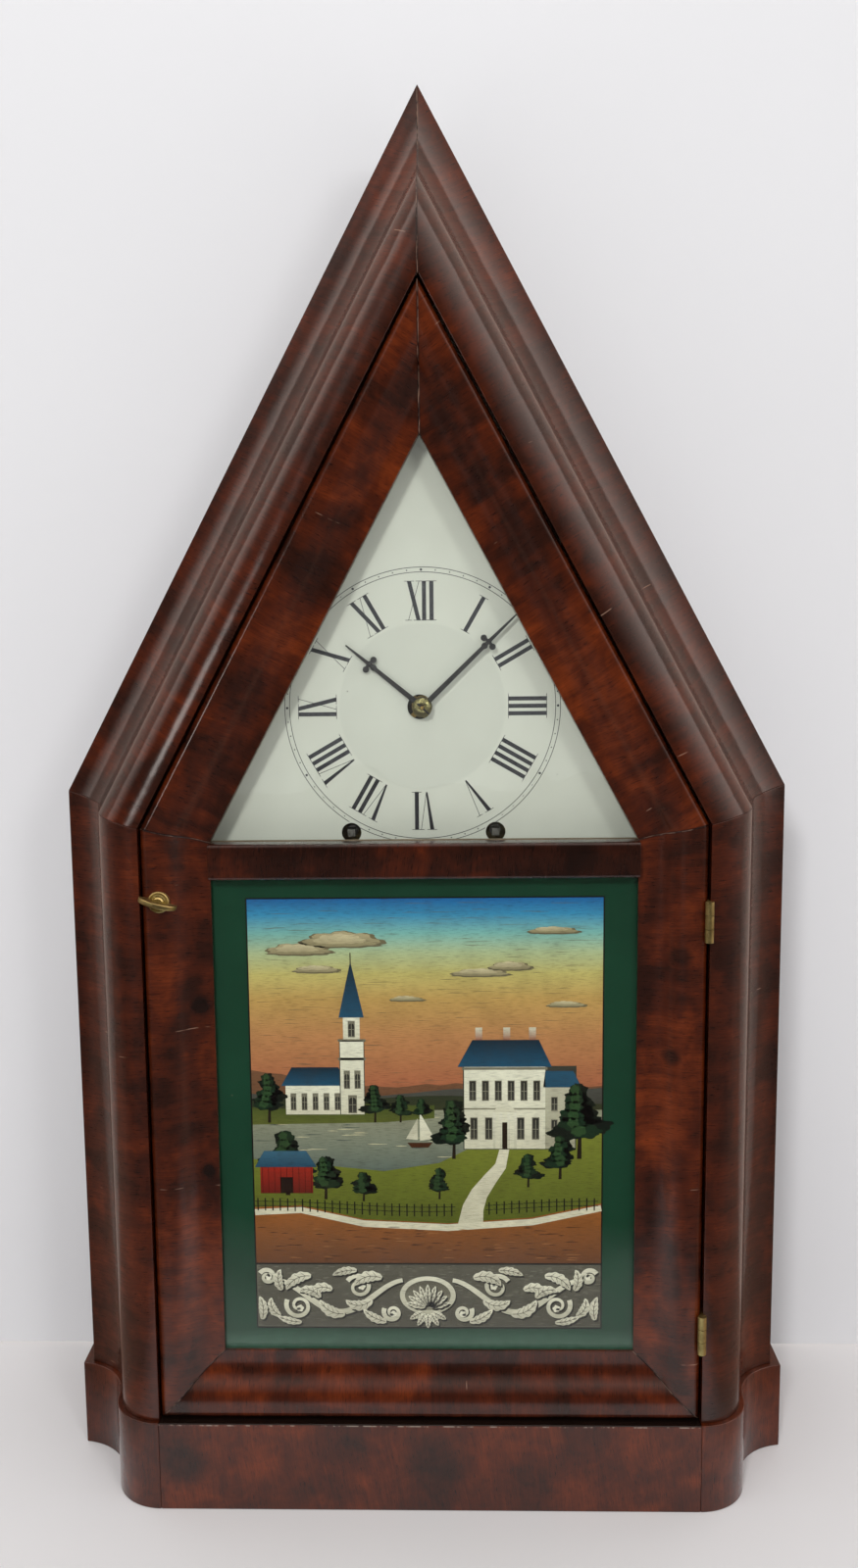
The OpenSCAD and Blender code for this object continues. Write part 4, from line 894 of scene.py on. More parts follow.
class Picture:
    """Coloured outlines laid one over another as thin closed slips of paint. Measures are in millimetres."""

    def __init__(self, ground, back, step):
        self.ground, self.back, self.step = ground, back, step
        self.points, self.faces, self.shades = [], [], []
        self.layer = 0

    def over(self):
        """Goes one layer nearer to the glass."""
        self.layer += 1

    def slip(self, outline, shade, lower=None):
        """A closed slip; with lower given, its colour fades from shade at its top to lower at its foot."""
        self.faces += slip_faces(len(outline), len(self.points))
        y = self.ground - self.step * (self.layer + 1)
        self.points += [(x * MM, y, z * MM) for x, z in outline]
        self.points += [(x * MM, self.back, z * MM) for x, z in outline]
        top, foot = max(p[1] for p in outline), min(p[1] for p in outline)
        for _, z in list(outline) * 2:
            t = (z - foot) / max(top - foot, TINY)
            self.shades.append([a * t + b * (1 - t) for a, b in zip(tone(*shade), tone(*(lower or shade)))])

    def box(self, x0, z0, x1, z1, shade, lower=None):
        """An upright rectangle."""
        self.slip([(x0, z0), (x1, z0), (x1, z1), (x0, z1)], shade, lower)

    def line(self, a, b, width, shade):
        """A straight stroke."""
        self.ribbon([a, b], [width / 2, width / 2], shade)

    def ribbon(self, path, halves, shade, lower=None):
        """A band along a path; halves are its half widths."""
        left, right = [], []
        for i, (x, z) in enumerate(path):
            ax, az = path[max(i - 1, 0)]
            bx, bz = path[min(i + 1, len(path) - 1)]
            long = math.hypot(bx - ax, bz - az) or 1
            nx, nz = -(bz - az) / long, (bx - ax) / long
            left.append((x + nx * halves[i], z + nz * halves[i]))
            right.append((x - nx * halves[i], z - nz * halves[i]))
        self.slip(left + right[::-1], shade, lower)

    def mass(self, x, z, rx, rz, shade, rng, n=26, rough=0.16):
        """An uneven round mass, for leaves and clouds."""
        a, b = rng.random() * 6, rng.random() * 6
        outline = []
        for i in range(n):
            q = math.tau * i / n
            r = 1 + 0.10 * math.sin(5 * q + a) + 0.07 * math.sin(9 * q + b) + rough * (rng.random() - 0.5)
            outline.append((x + rx * r * math.cos(q), z + rz * r * math.sin(q)))
        self.slip(outline, shade)

    def mesh(self, name):
        """The closed slips as one mesh, with their colours in its tint attribute."""
        mesh = shape(name, self.points, self.faces)
        tint = mesh.color_attributes.new("tint", "FLOAT_COLOR", "POINT")
        for i, shade in enumerate(self.shades):
            tint.data[i].color = shade
        return outward(mesh, merge=False)


def wander(x0, x1, z, rise, rng):
    """An uneven line from left to right, for hills and banks."""
    a, b = rng.random() * 6, rng.random() * 6
    n, out = 24, []
    for i in range(n + 1):
        t = i / n
        out.append((x0 + (x1 - x0) * t, z + rise * (0.5 * math.sin(4.2 * t + a) + 0.3 * math.sin(9.7 * t + b)
                                                   + 0.2 * (rng.random() - 0.5))))
    return out


def dashes(pic, rng, count, field, step, halves, shades, share=1.0):
    """Short level strokes over a field of (width, foot, height); step is (half way, its rise, length, more)."""
    wide, foot, high = field
    half, rise, length, more = step
    for _ in range(count):
        x, z = LEFT + rng.random() * wide, foot + rng.random() * high
        path = [(x, z), (x + half, z + rise), (x + length + rng.random() * more, z)]
        first = share == 1.0 or rng.random() < share
        pic.ribbon(path, halves, shades[0] if first else shades[1])


def tree_shape(pic, rng, x, foot, height, width):
    """A dark leafy tree with lighter leaves on its upper left."""
    start = pic.layer
    pic.over()
    pic.ribbon([(x, foot), (x + 0.3, foot + height * 0.5)], [width * 0.05, width * 0.03], (34, 26, 18))
    for shade, grow, lift, count in (((15, 24, 18), 1.0, 0.0, 7), ((24, 44, 28), 0.72, 0.1, 6),
                                     ((44, 70, 40), 0.34, 0.2, 6)):
        pic.over()
        for k in range(count):
            t = k / (count - 1)
            spread = width * 0.36 * grow * (1 - 0.75 * t)
            pic.mass(x - width * lift * 0.4 + (rng.random() - 0.5) * 2 * spread * 0.8,
                     foot + height * (0.34 + 0.52 * t) + height * lift * 0.12,
                     (spread + width * 0.11) * (0.85 + 0.3 * rng.random()) * (0.45 + 0.55 * grow),
                     height * 0.105 * (0.5 + 0.5 * grow), shade, rng)
    pic.layer = start + 1


def windows(pic, x0, x1, z, count, width, height, arched=False):
    """A row of windows with frames and bars."""
    start, half, bars = pic.layer, width / 2, (150, 146, 126)
    middles = [x0 + (x1 - x0) * (i + 0.5) / count for i in range(count)]
    for x in middles:
        pic.box(x - half - 0.35, z - 0.5, x + half + 0.35, z + height + 0.4, (118, 114, 98))
    pic.over()
    for x in middles:
        outline = [(x - half, z), (x + half, z)]
        if arched:
            outline += [(x + half * math.cos(a), z + height * 0.7 + half * math.sin(a))
                        for a in [math.pi * k / 8 for k in range(9)]]
        else:
            outline += [(x + half, z + height), (x - half, z + height)]
        pic.slip(outline, (46, 46, 42), (66, 64, 58))
    pic.over()
    for x in middles:
        pic.box(x - 0.12, z, x + 0.12, z + height * 0.92, bars)
        pic.box(x - half, z + height * 0.45, x + half, z + height * 0.45 + 0.22, bars)
    pic.layer = start


def cloud(pic, rng, x, z, wide, high):
    """A heaped cloud with a level foot, shaded below and lit above."""
    turn = rng.random() * 6
    for shade, low, lift, grow in (((122, 112, 84), (104, 96, 74), 0.0, 1.0),
                                   ((182, 170, 132), (140, 130, 98), 0.5, 0.88),
                                   ((206, 194, 156), (170, 158, 122), 1.3, 0.6)):
        pic.over()
        outline = []
        for i in range(90):
            q = math.tau * i / 90
            bulge = 0.8 + 0.16 * abs(math.sin(4.5 * q + turn)) + 0.05 * abs(math.sin(13 * q + turn))
            rise = math.sin(q) if math.sin(q) > 0 else 0.3 * math.sin(q)
            outline.append((x - lift + wide * grow * bulge * math.cos(q), z + lift + high * grow * bulge * rise))
        pic.slip(outline, shade, low)
    pic.layer -= 2


def paint_scene(pic, rng):
    """A lakeside village in the manner of a tinted engraving."""
    x0, x1, low, high = LEFT, RIGHT, 84.6, 296.2
    pic.box(x0 - 0.7, low, x1 + 0.7, high, (18, 20, 18))
    pic.over()
    stops = [(295.5, (34, 98, 158)), (288, (60, 140, 180)), (279, (124, 180, 172)), (270, (172, 186, 142)),
             (260, (190, 178, 108)), (248, (188, 152, 88)), (230, (182, 128, 82)), (208, (170, 104, 72)),
             (196, (128, 80, 58))]
    for (za, a), (zb, b) in zip(stops, stops[1:]):
        pic.box(x0, zb, x1, za, a, b)
    pic.over()
    dashes(pic, rng, 120, (150, 206, 88), (3, 0.1, 6, 8), [0.03, 0.1, 0.03], [(96, 88, 66)])
    for spot in ((-58, 270, 17, 5.0), (-38, 274, 21, 6.5), (-50, 261, 12, 3.0), (26, 259, 15, 3.2),
                 (40, 262, 11, 3.6), (60, 279, 13, 2.8), (66, 244, 10, 2.2), (-8, 247, 9, 1.8)):
        cloud(pic, rng, *spot)
    # the hills
    for z, rise, shade, low in ((208, 7, (118, 82, 58), (96, 62, 44)), (203, 5, (74, 74, 68), (60, 58, 48)),
                                (199, 3, (46, 52, 36), (58, 60, 34))):
        pic.over()
        pic.slip(wander(x0, x1, z, rise, rng) + [(x1, 186), (x0, 186)], shade, low)
    # the lake
    pic.over()
    pic.box(x0, 160, x1, 194, (146, 146, 122), (84, 98, 92))
    pic.over()
    dashes(pic, rng, 60, (158, 170, 23), (2.5, 0.05, 5, 5), [0.05, 0.22, 0.05],
           [(196, 188, 152), (70, 80, 74)], 0.5)
    # the far shore with its church
    pic.over()
    pic.slip(wander(x0, 4, 196, 2, rng) + [(4, 190), (-20, 188), (x0, 187)], (66, 78, 34), (92, 98, 44))
    pic.over()
    pic.box(-66, 192, -38, 206, WHITE, DULL)
    pic.slip([(-68, 206), (-36, 206), (-41, 215), (-63, 215)], SLATE, BLUE)
    pic.over()
    windows(pic, -65, -39, 194.5, 5, 2.0, 7.5, True)
    pic.over()
    pic.box(-40.4, 192, -28.6, 228, EDGE)
    pic.over()
    pic.box(-40, 192, -29, 228, WHITE, DULL)
    pic.box(-41, 218.4, -28, 219.6, LEDGE)
    pic.box(-41, 227.4, -28, 228.6, LEDGE)
    pic.over()
    pic.box(-38.4, 228.6, -30.6, 239, WHITE, DULL)
    pic.slip([(-40.4, 239), (-28.6, 239), (-34.5, 266)], SLATE, BLUE)
    pic.line((-34.5, 265), (-34.5, 270), 0.5, (60, 50, 30))
    pic.over()
    windows(pic, -38, -31, 230, 1, 2.6, 7, True)
    windows(pic, -39.5, -29.5, 205, 2, 2.2, 8, True)
    windows(pic, -38, -31, 193, 1, 3.4, 8, True)
    for spot in ((-74, 188, 25, 15), (-24, 188, 19, 11), (-12, 188, 14, 10), (-2, 189, 11, 8)):
        tree_shape(pic, rng, *spot)
    # a sailing boat
    pic.over()
    pic.slip([(-9, 178), (3, 178), (1, 175.6), (-7, 175.6)], (70, 40, 24))
    pic.slip([(-3, 179), (-3, 193), (4, 180)], WHITE, DULL)
    pic.slip([(-4, 179.4), (-4, 190), (-9.5, 180)], (186, 182, 158), DULL)
    # the near lawn and the bank, with the path and the road
    pic.over()
    pic.slip([(x1, 186), (60, 186), (40, 183), (22, 176), (6, 168), (-20, 164), (-50, 167), (x0, 170), (x0, 138),
              (x1, 138)], (122, 128, 48), (84, 92, 34))
    pic.over()
    pic.slip([(x0, 146), (-60, 147), (-30, 140), (10, 138), (50, 141), (x1, 148), (x1, 118), (x0, 118)],
             (150, 92, 46), (98, 58, 30))
    pic.over()
    pic.ribbon([(20.6, 136.6), (22, 146), (25, 153), (30, 160), (35, 166.5), (37, 175.5)],
               [6, 5, 4.1, 3.3, 2.7, 2.2], (216, 210, 184), (200, 194, 168))
    pic.over()
    pic.ribbon([(x0, 143.5), (-60, 144.6), (-30, 137.8), (10, 135.8), (50, 138.6), (x1, 145.6)],
               [1.5, 1.5, 1.6, 1.7, 1.6, 1.5], (212, 206, 180))
    pic.over()
    dashes(pic, rng, 90, (160, 119, 17), (1.5, 0.1, 3, 4), [0.06, 0.2, 0.06],
           [(62, 38, 22), (150, 100, 56)], 0.6)
    # the house
    pic.over()
    pic.box(17.5, 174.6, 70.5, 215.4, EDGE)
    pic.over()
    pic.box(18, 175, 56, 215, WHITE, DULL)
    pic.box(56, 175, 70, 205, (190, 186, 162), (160, 156, 132))
    pic.slip([(15, 215), (59, 215), (53, 228), (22, 228)], SLATE, BLUE)
    pic.slip([(55, 205), (73, 205), (69, 213), (56, 213)], (40, 80, 104), BLUE)
    for x in (25, 38, 50):
        pic.box(x - 1.6, 228, x + 1.6, 234, (206, 200, 176), (150, 96, 72))
    pic.over()
    pic.box(17, 213.6, 57, 214.8, LEDGE)
    pic.box(18, 194.2, 56, 195, (140, 136, 116))
    windows(pic, 19, 55, 199, 6, 2.6, 9)
    windows(pic, 19, 33, 180, 2, 2.8, 10)
    windows(pic, 41, 55, 180, 2, 2.8, 10)
    windows(pic, 57, 70, 181, 2, 2.4, 8)
    windows(pic, 57, 70, 194, 2, 2.4, 6)
    pic.over()
    pic.slip([(31, 193), (43, 193), (37, 198.5)], (214, 210, 188), DULL)
    for x in (32, 35.2, 38.8, 42):
        pic.box(x - 0.6, 175, x + 0.6, 193, (222, 218, 198), (190, 186, 162))
    pic.box(35.8, 175, 38.2, 188, (40, 30, 22))
    for spot in ((13, 170, 30, 17), (72, 170, 38, 22), (63, 160, 22, 15), (48, 156, 17, 11), (-66, 152, 33, 22),
                 (-48, 150, 22, 15), (-30, 149, 15, 11), (6, 150, 16, 10)):
        tree_shape(pic, rng, *spot)
    # the red barn and the fence
    pic.over()
    pic.box(-79, 153, -54, 166, (146, 40, 28), (98, 28, 22))
    pic.slip([(-81.5, 166), (-52, 166), (-57, 174), (-77, 174)], (58, 96, 116), (36, 70, 92))
    pic.over()
    pic.box(-69.5, 153, -63.5, 161, (34, 20, 16))
    for k in range(9):
        pic.line((-78 + 2.9 * k, 153), (-78 + 2.9 * k, 166), 0.25, (70, 20, 16))
    pic.over()
    for k in range(46):
        x = x0 + 1.5 + k * 3.55
        z = 146.5 + 1.5 * math.cos(k * 0.14)
        if not 14 < x < 29:
            pic.box(x - 0.3, z - 3.6, x + 0.3, z + 2.6, (30, 30, 24))
            for rail in (1, -1.2):
                pic.line((x - 1.7, z + rail), (x + 1.7, z + rail), 0.3, (40, 40, 32))


def shaded(pic, path, halves, pale, low, drop=(0.7, -0.9)):
    """Lays a pale band over its dark shade, and ends one layer over it."""
    pic.ribbon([(x + drop[0], z + drop[1]) for x, z in path], halves, SHADE)
    pic.over()
    pic.ribbon(path, halves, pale, low)
    pic.over()


def leaf(pic, x, z, angle, length, width, curl, lobes=5):
    """A curling leaf with a lobed edge, dark shade under it and veins on it."""
    path, halves = [], []
    n = 22
    px, pz, a = x, z, angle
    for i in range(n + 1):
        t = i / n
        path.append((px, pz))
        halves.append(width * (math.sin(math.pi * min(t * 0.92 + 0.08, 1)) ** 0.8)
                      * (0.74 + 0.26 * abs(math.sin(lobes * math.pi * t))) + 0.12)
        a += curl / n
        px += length / n * math.cos(a)
        pz += length / n * math.sin(a)
    shaded(pic, path, halves, (226, 222, 200), (186, 181, 160))
    pic.ribbon(path[1:-2], [0.16] * (n - 2), (70, 66, 54))
    for i in range(4, n - 3, 4):
        for side in (-1, 1):
            (ax, az), (bx, bz) = path[i], path[i + 3]
            h = halves[i + 3] * 0.8 * side
            dx, dz = bx - ax, bz - az
            long = math.hypot(dx, dz) or 1
            pic.ribbon([(ax, az), (bx - dz / long * h, bz + dx / long * h)], [0.14, 0.07], (92, 88, 72))


def scrollwork(pic, rng):
    """A symmetrical band of grey scrolling leaves around a plain shell."""
    low, high, middle = 85.5, 117.0, 101.2
    pic.layer = 1
    pic.box(LEFT, low, RIGHT, high, (104, 101, 87), (90, 87, 74))
    pic.over()
    for k in range(58):
        z = low + 0.8 + k * 0.54
        start = LEFT + rng.random() * 3
        while start < RIGHT - 4:
            stop = min(RIGHT, start + 6 + rng.random() * 26)
            pic.line((start, z), (stop, z), 0.22, (44, 42, 34))
            start = stop + 0.8 + rng.random() * 2
    for s in (-1, 1):
        def at(x, z):
            return (s * x, middle + z)

        def turned(a):
            return a if s > 0 else math.pi - a

        pic.layer = 4
        stem = [at(12 + 66 * t, 8.2 * math.cos(2.05 * math.pi * t + 0.2)) for t in [i / 50 for i in range(51)]]
        halves = [1.0 + 0.5 * math.sin(math.pi * i / 50) for i in range(51)]
        shaded(pic, stem, halves, (224, 220, 198), (184, 180, 158))
        for cx, cz, r, turn in ((33, 4.6, 6.2, 1), (62, -5.0, 6.4, -1), (77, 9.5, 4.0, 1), (17, -8.4, 4.4, -1)):
            coil, n = [], 40
            for i in range(n):
                a = 0.5 + turn * 2.852 * math.pi * i / n
                reach = r * (1 - 0.8 * i / n)
                coil.append(at(cx + reach * math.cos(a), cz + reach * math.sin(a)))
            shaded(pic, coil, [1.15 * (1 - 0.55 * i / n) for i in range(n)], (226, 222, 200), (186, 182, 160),
                   (0.6, -0.8))
            pic.layer -= 1
            pic.mass(coil[-1][0], coil[-1][1], 1.7, 1.7, (230, 226, 204), rng, 14, 0.02)
            pic.over()
        for x, z, a, length, width, curl in (
                (22, 9, 0.5, 15, 2.9, -1.5), (27, -2, -0.9, 14, 2.7, 1.7), (40, -9, -0.2, 15, 2.9, 1.4),
                (46, 3, 0.7, 13, 2.5, -1.9), (52, -1, 1.2, 12, 2.4, -1.7), (56, 10, 0.2, 15, 2.7, -1.4),
                (70, 3, 0.9, 11, 2.3, 1.2), (71, -10, 0.3, 11, 2.3, 1.6), (20, -13, 0.1, 13, 2.2, 0.8),
                (80, -12, 1.9, 12, 2.2, -0.8), (34, 13, 0.1, 12, 2.0, -0.6), (61, -13.4, 0.0, 12, 1.8, 0.5)):
            leaf(pic, *at(x, z), turned(a), length, width, curl * s)
            pic.layer -= 1
    pic.over()
    # the plain shell in the middle
    middle += 0.4
    turns = [math.tau * i / 48 for i in range(48)]
    ring = [(13.4 * math.cos(a), middle + 9.6 * math.sin(a)) for a in turns]
    pic.slip([(x + 0.6, z - 0.8) for x, z in ring], (34, 32, 26))
    pic.over()
    pic.slip(ring, (220, 216, 194), (180, 176, 154))
    pic.over()
    pic.slip([(x * 0.82, middle + (z - middle) * 0.78) for x, z in ring], (84, 80, 66), (130, 126, 108))
    pic.over()
    # nine ribs above and five below
    for k in range(9):
        a = math.radians(14 + 19 * k)
        leaf(pic, 1.5 * math.cos(a), 95.2 + 1.5 * math.sin(a), a, 10.4 - 0.3 * abs(k - 4), 1.5, 0.0, 3)
        pic.layer -= 1
    for k in range(5):
        a = math.radians(-150 + 30 * k)
        leaf(pic, 3 * math.cos(a), 94 + 2 * math.sin(a), a, 7.0, 1.5, 0.0, 3)


class CLOCK_OT_tablet(bpy.types.Operator):
    """Paint the tablet behind the lower glass"""
    bl_idname = "clock.tablet"
    bl_label = "Painted Tablet"

    def execute(self, context):
        look = context.scene.clock_finish
        made, tree, shader = material("tablet_print", Specular_IOR_Level=0.0)
        at = tree.place()
        tint = tree.node("ShaderNodeAttribute", attribute_name="tint").outputs["Color"]
        stain = tree.noise(at, 60.0, 4.0, 0.65)
        hatch = tree.noise(tree.vector("MULTIPLY", at, (240, 240, 2600)), 1.0, 2.0)
        shade = tree.mix(tree.span(hatch, 0.5, 0.72, 0.0, 0.32), tint, (0.018, 0.016, 0.011, 1.0))
        shade = tree.mix(tree.span(stain, 0.42, 0.75, 0.0, 0.22), shade, (0.045, 0.032, 0.016, 1.0))
        tree.put(shader.inputs["Base Color"], shade)
        tree.put(shader.inputs["Roughness"], tree.span(stain, 0.3, 0.7, 0.5, 0.65))
        border = painted("tablet_border", look.border, (10, 34, 22), 0.4, 0.35, 0.0)
        lo, hi = PAINT_LO, PAINT_HI
        tree, shader = opened(border)
        # a painted reflection: a pale band in the glass along the foot of the border, broken by a fine speckle
        painted_reflection = tree.span(tree.parts(tree.place())[2], lo.z + 6 * MM, lo.z + 13 * MM, 0.5, 0.0)
        speckle = tree.span(tree.noise(tree.place(), 300.0, 3.0), 0.3, 0.7, 0.6, 1.0)
        tree.glaze(shader, tree.times(painted_reflection, speckle), tone(88, 122, 104))
        thick = hi.y - lo.y
        front, back = hi.y - thick * 0.12, hi.y - thick * 0.06
        ground = prisms("tablet_ground", [[(lo.x, lo.z), (hi.x, lo.z), (hi.x, hi.z), (lo.x, hi.z)]], front, hi.y)
        piece("tablet_border", ground, "door", [border], ("tablet_painting",))
        rng = random.Random(7)
        for name, paint in (("tablet_picture", paint_scene), ("tablet_scrollwork", scrollwork)):
            pic = Picture(front, back, 0.0042 * MM)
            paint(pic, rng)
            piece(name, pic.mesh(name), "door", [made])
        return {"FINISHED"}


def finish_node(node, *materials):
    """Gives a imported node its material."""
    made = frame["nodes"][node]
    made.data.materials.clear()
    for one in materials:
        made.data.materials.append(one)


def lathe(name, profile, turn, place, steps=48):
    """Turns a profile of (radius, height) pairs, in millimetres, about an axis, with the poles closed."""
    points, faces, rings = [], [], []
    for r, h in profile:
        r, h = r * MM, h * MM
        if r < TINY:
            rings.append([len(points)])
            points.append((0, 0, h))
        else:
            rings.append([len(points) + i for i in range(steps)])
            points += [(r * math.cos(math.tau * i / steps), r * math.sin(math.tau * i / steps), h)
                       for i in range(steps)]
    for low, high in zip(rings, rings[1:]):
        for i in range(steps):
            j = (i + 1) % steps
            face = [low[i % len(low)], low[j % len(low)], high[j % len(high)], high[i % len(high)]]
            faces.append(list(dict.fromkeys(face)))
    mesh = shape(name, points, faces)
    mesh.transform(Matrix.Translation(place) @ turn)
    return outward(mesh, SMOOTH_TURNED)


def join(name, meshes):
    """One mesh of several closed ones."""
    work = bmesh.new()
    for mesh in meshes:
        work.from_mesh(mesh)
    made = bpy.data.meshes.new(name)
    work.to_mesh(made)
    work.free()
    return smoothed(made, SMOOTH_TURNED)


def bevelled(mesh, width, segments):
    """The mesh with every sharp edge rounded."""
    work = bmesh.new()
    work.from_mesh(mesh)
    edges = [e for e in work.edges if e.is_manifold and e.calc_face_angle() > 0.6]
    bmesh.ops.bevel(work, geom=edges, offset=width, segments=segments, affect="EDGES", profile=0.5,
                    clamp_overlap=True)
    work.to_mesh(mesh)
    work.free()
    return outward(mesh)


class CLOCK_OT_latch(bpy.types.Operator):
    """Turn the ringed plate of the latch and file its standing wing"""
    bl_idname = "clock.latch"
    bl_label = "Latch"

    def execute(self, context):
        look = context.scene.clock_finish
        brass = metal("brass_latch", look.brass, 0.26, (74, 64, 34), 0.5)
        lo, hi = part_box("latch_plate")
        face = STILE_LO.y
        centre = Vector(((lo.x + hi.x) / 2, face, (lo.z + hi.z) / 2))
        plate = [(0, -1.8), (5.0, -1.8), (5.0, 0.2), (4.9, 0.8), (4.5, 1.15), (4.1, 1.1), (3.8, 0.8), (3.5, 0.95),
                 (3.2, 1.45), (2.9, 1.5), (2.6, 1.25), (2.3, 1.45), (1.9, 1.95), (1.2, 2.0), (0, 2.0)]
        boss = lathe("latch_boss", plate, TO_FRONT, centre)
        piece("latch_boss", boss, "door", [brass], ("latch_plate",))
        # the wing is half an oval on a short foot, all in millimetres
        tilt = math.radians(15)
        long, high, thick, foot, heel = 9.0, 7.2, 1.15, 1.9, 1.1
        outline = [(-long, foot)] + [(long * math.cos(a), foot + high * math.sin(a))
                                     for a in [math.pi - math.pi * k / 28 for k in range(1, 28)]] + [(long, foot)]
        outline += [(long * 0.55, heel), (-long * 0.55, heel)]
        points = [(x * MM, -y * MM, z * MM) for z in (-thick, thick) for x, y in outline]
        wing = bevelled(outward(shape("wing", points, slip_faces(len(outline)))), 0.45 * MM, 3)
        wing.transform(Matrix.Translation(centre) @ Matrix.Rotation(tilt, 4, "Y"))
        deep = (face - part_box("latch_knob")[1].y) / MM
        stem = lathe("stem", [(0, 2.6), (1.6, 2.6), (1.6, 1.0), (1.5, deep), (0, deep)], TO_FRONT, centre, 24)
        made = join("latch_wing", [wing, stem])
        piece("latch_wing", made, "latch", [brass], ("latch_knob",))
        return {"FINISHED"}


class CLOCK_OT_collet(bpy.types.Operator):
    """Make the domed collet, the end of the arbor and the taper pin"""
    bl_idname = "clock.collet"
    bl_label = "Hand Collet"

    def execute(self, context):
        brass = metal("brass_collet", tone(140, 132, 88), 0.2, (84, 78, 50), 0.5)
        steel = metal("steel_pin", tone(52, 50, 50), 0.3, (28, 26, 26), 0.5)
        base = Vector((0, COLLET_HI.y, CENTRE.z))
        dome = [(0, 0.0), (4.45, 0.0), (4.5, 0.35), (4.2, 0.8), (3.5, 1.25), (2.6, 1.5), (1.9, 1.55), (1.5, 1.35),
                (0, 1.35)]
        dome = lathe("collet_dome", dome, TO_FRONT, base)
        piece("collet_dome", dome, "centre", [brass], ("hand_collet",))
        end = lathe("arbor_end", [(0, 1.0), (1.25, 1.0), (1.25, 2.3), (0.9, 2.6), (0, 2.6)], TO_FRONT, base, 4)
        taper = [(0.0, -4.4), (0.3, -4.4), (0.42, -3.0), (0.5, 2.6), (0.44, 2.9), (0.0, 2.9)]
        lay = Matrix.Rotation(math.radians(-47), 4, "Y")
        pin = lathe("taper_pin", taper, lay, base + Vector((0, -1.95 * MM, 0)), 16)
        piece("collet_pin", join("collet_pin", [end, pin]), "centre", [steel])
        return {"FINISHED"}


class CLOCK_OT_metals(bpy.types.Operator):
    """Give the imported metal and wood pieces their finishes"""
    bl_idname = "clock.metals"
    bl_label = "Packed Pieces"

    def execute(self, context):
        look = context.scene.clock_finish
        old_brass = metal("brass_aged", look.brass, 0.34, (70, 58, 30), 0.55)
        clean_brass = metal("brass_clean", tone(168, 140, 78), 0.28, amount=0.5)
        steel = metal("steel_dull", look.steel, 0.38, (50, 44, 38), 0.5)
        iron = metal("iron_dark", tone(52, 50, 48), 0.5, (30, 24, 20), 0.6)
        black = painted("hands_black", tone(20, 19, 19), (46, 42, 38), 0.3, 0.5)
        wood = pine("pine_upright", look.pine)
        flat = pine("pine_level", look.pine, QUARTER)
        sides = veneer("mahogany_sides", QUARTER, 61, figure=0.7)
        putty = painted("putty_old", tone(120, 104, 84), (60, 50, 40), 0.75, 0.6)
        border = painted("border_green", look.border, (12, 34, 24), 0.3, 0.3)
        glass = glass_material("old_glass")
        slots = {"brass": old_brass, "steel": steel, "iron": iron, "hands": black, "pine": wood, "putty": putty,
                 "painting": border, "glass": glass, "mahogany": sides, "dial": None}
        # heavily tarnished brass, also darkened as painted shade for the dim space between dial and plate
        tarnished_shaded_brass = metal("brass_tarnish_and_shade", tone(88, 78, 50), 0.5, (34, 30, 20), 0.8)
        inside = {"plate_back", "pendulum_bob"}
        inside |= {n for n in frame["nodes"] if "wheel" in n or n in ("cannon_pinion", "fly")}
        for part in frame["record"]["subparts"]:
            node, finish = part["node"], slots[part["material_slot"]]
            if node in inside and part["material_slot"] == "brass":
                finish = clean_brass
            # the front plate seen through the winding holes gets painted shade
            if node == "plate_front":
                finish = tarnished_shaded_brass
            if node in ("bottom_board", "movement_blocks"):
                finish = flat
            if finish and not frame["nodes"][node].hide_render:
                finish_node(node, finish)
        return {"FINISHED"}


def glass_material(name):
    """Thin old glass that lets the lamps through."""
    made, tree, shader = material(name, Transmission_Weight=1.0, IOR=1.45, Roughness=0.0,
                                  Base_Color=(0.97, 0.99, 0.975, 1.0))
    tree.put(shader.inputs["Normal"], tree.bump(tree.noise(tree.place(), 26.0, 1.0), 0.4 * MM))
    through = tree.node("ShaderNodeBsdfTransparent", {"Color": (0.975, 0.985, 0.975, 1.0)}).outputs[0]
    rays = tree.node("ShaderNodeLightPath").outputs
    open_to = tree.shaders(rays["Is Diffuse Ray"], shader.outputs[0], through)
    both = tree.shaders(rays["Is Shadow Ray"], open_to, through)
    tree.put(tree.tree.nodes["Material Output"].inputs[0], both)
    return made


# ---- stage

# the camera as it was fitted: lens in millimetres, place from the middle of the front, angles in radians
LENS = 31.06
SHIFT = (0.0154, 0.0153)
CAMERA = (0.009606, -0.59977, 0.41983)
PITCH, ROLL, YAW = 0.13343, 0.0119, 0.02914
REACH = 3.0


def reflected(tree):
    """1 for what a polished surface shows, and 0 for what is seen straight or through glass."""
    rays = tree.node("ShaderNodeLightPath").outputs
    return tree.times(rays["Is Glossy Ray"], tree.math("MINIMUM", rays["Glossy Depth"], 1.0))


def panel(name, points, finish):
    """A flat sheet of the stage."""
    mesh = shape(name, points, [list(range(len(points)))])
    mesh.materials.append(finish)
    placed(name, mesh)


def lamp(name, place, aim, width, power):
    """A round lamp that polish doesn't show."""
    data = bpy.data.lights.new(name, "AREA")
    data.shape, data.size, data.energy = "DISK", width, power
    made = placed(name, data)
    made.location = place
    made.rotation_euler = (Vector(aim) - Vector(place)).to_track_quat("-Z", "Y").to_euler()
    made.visible_glossy = False


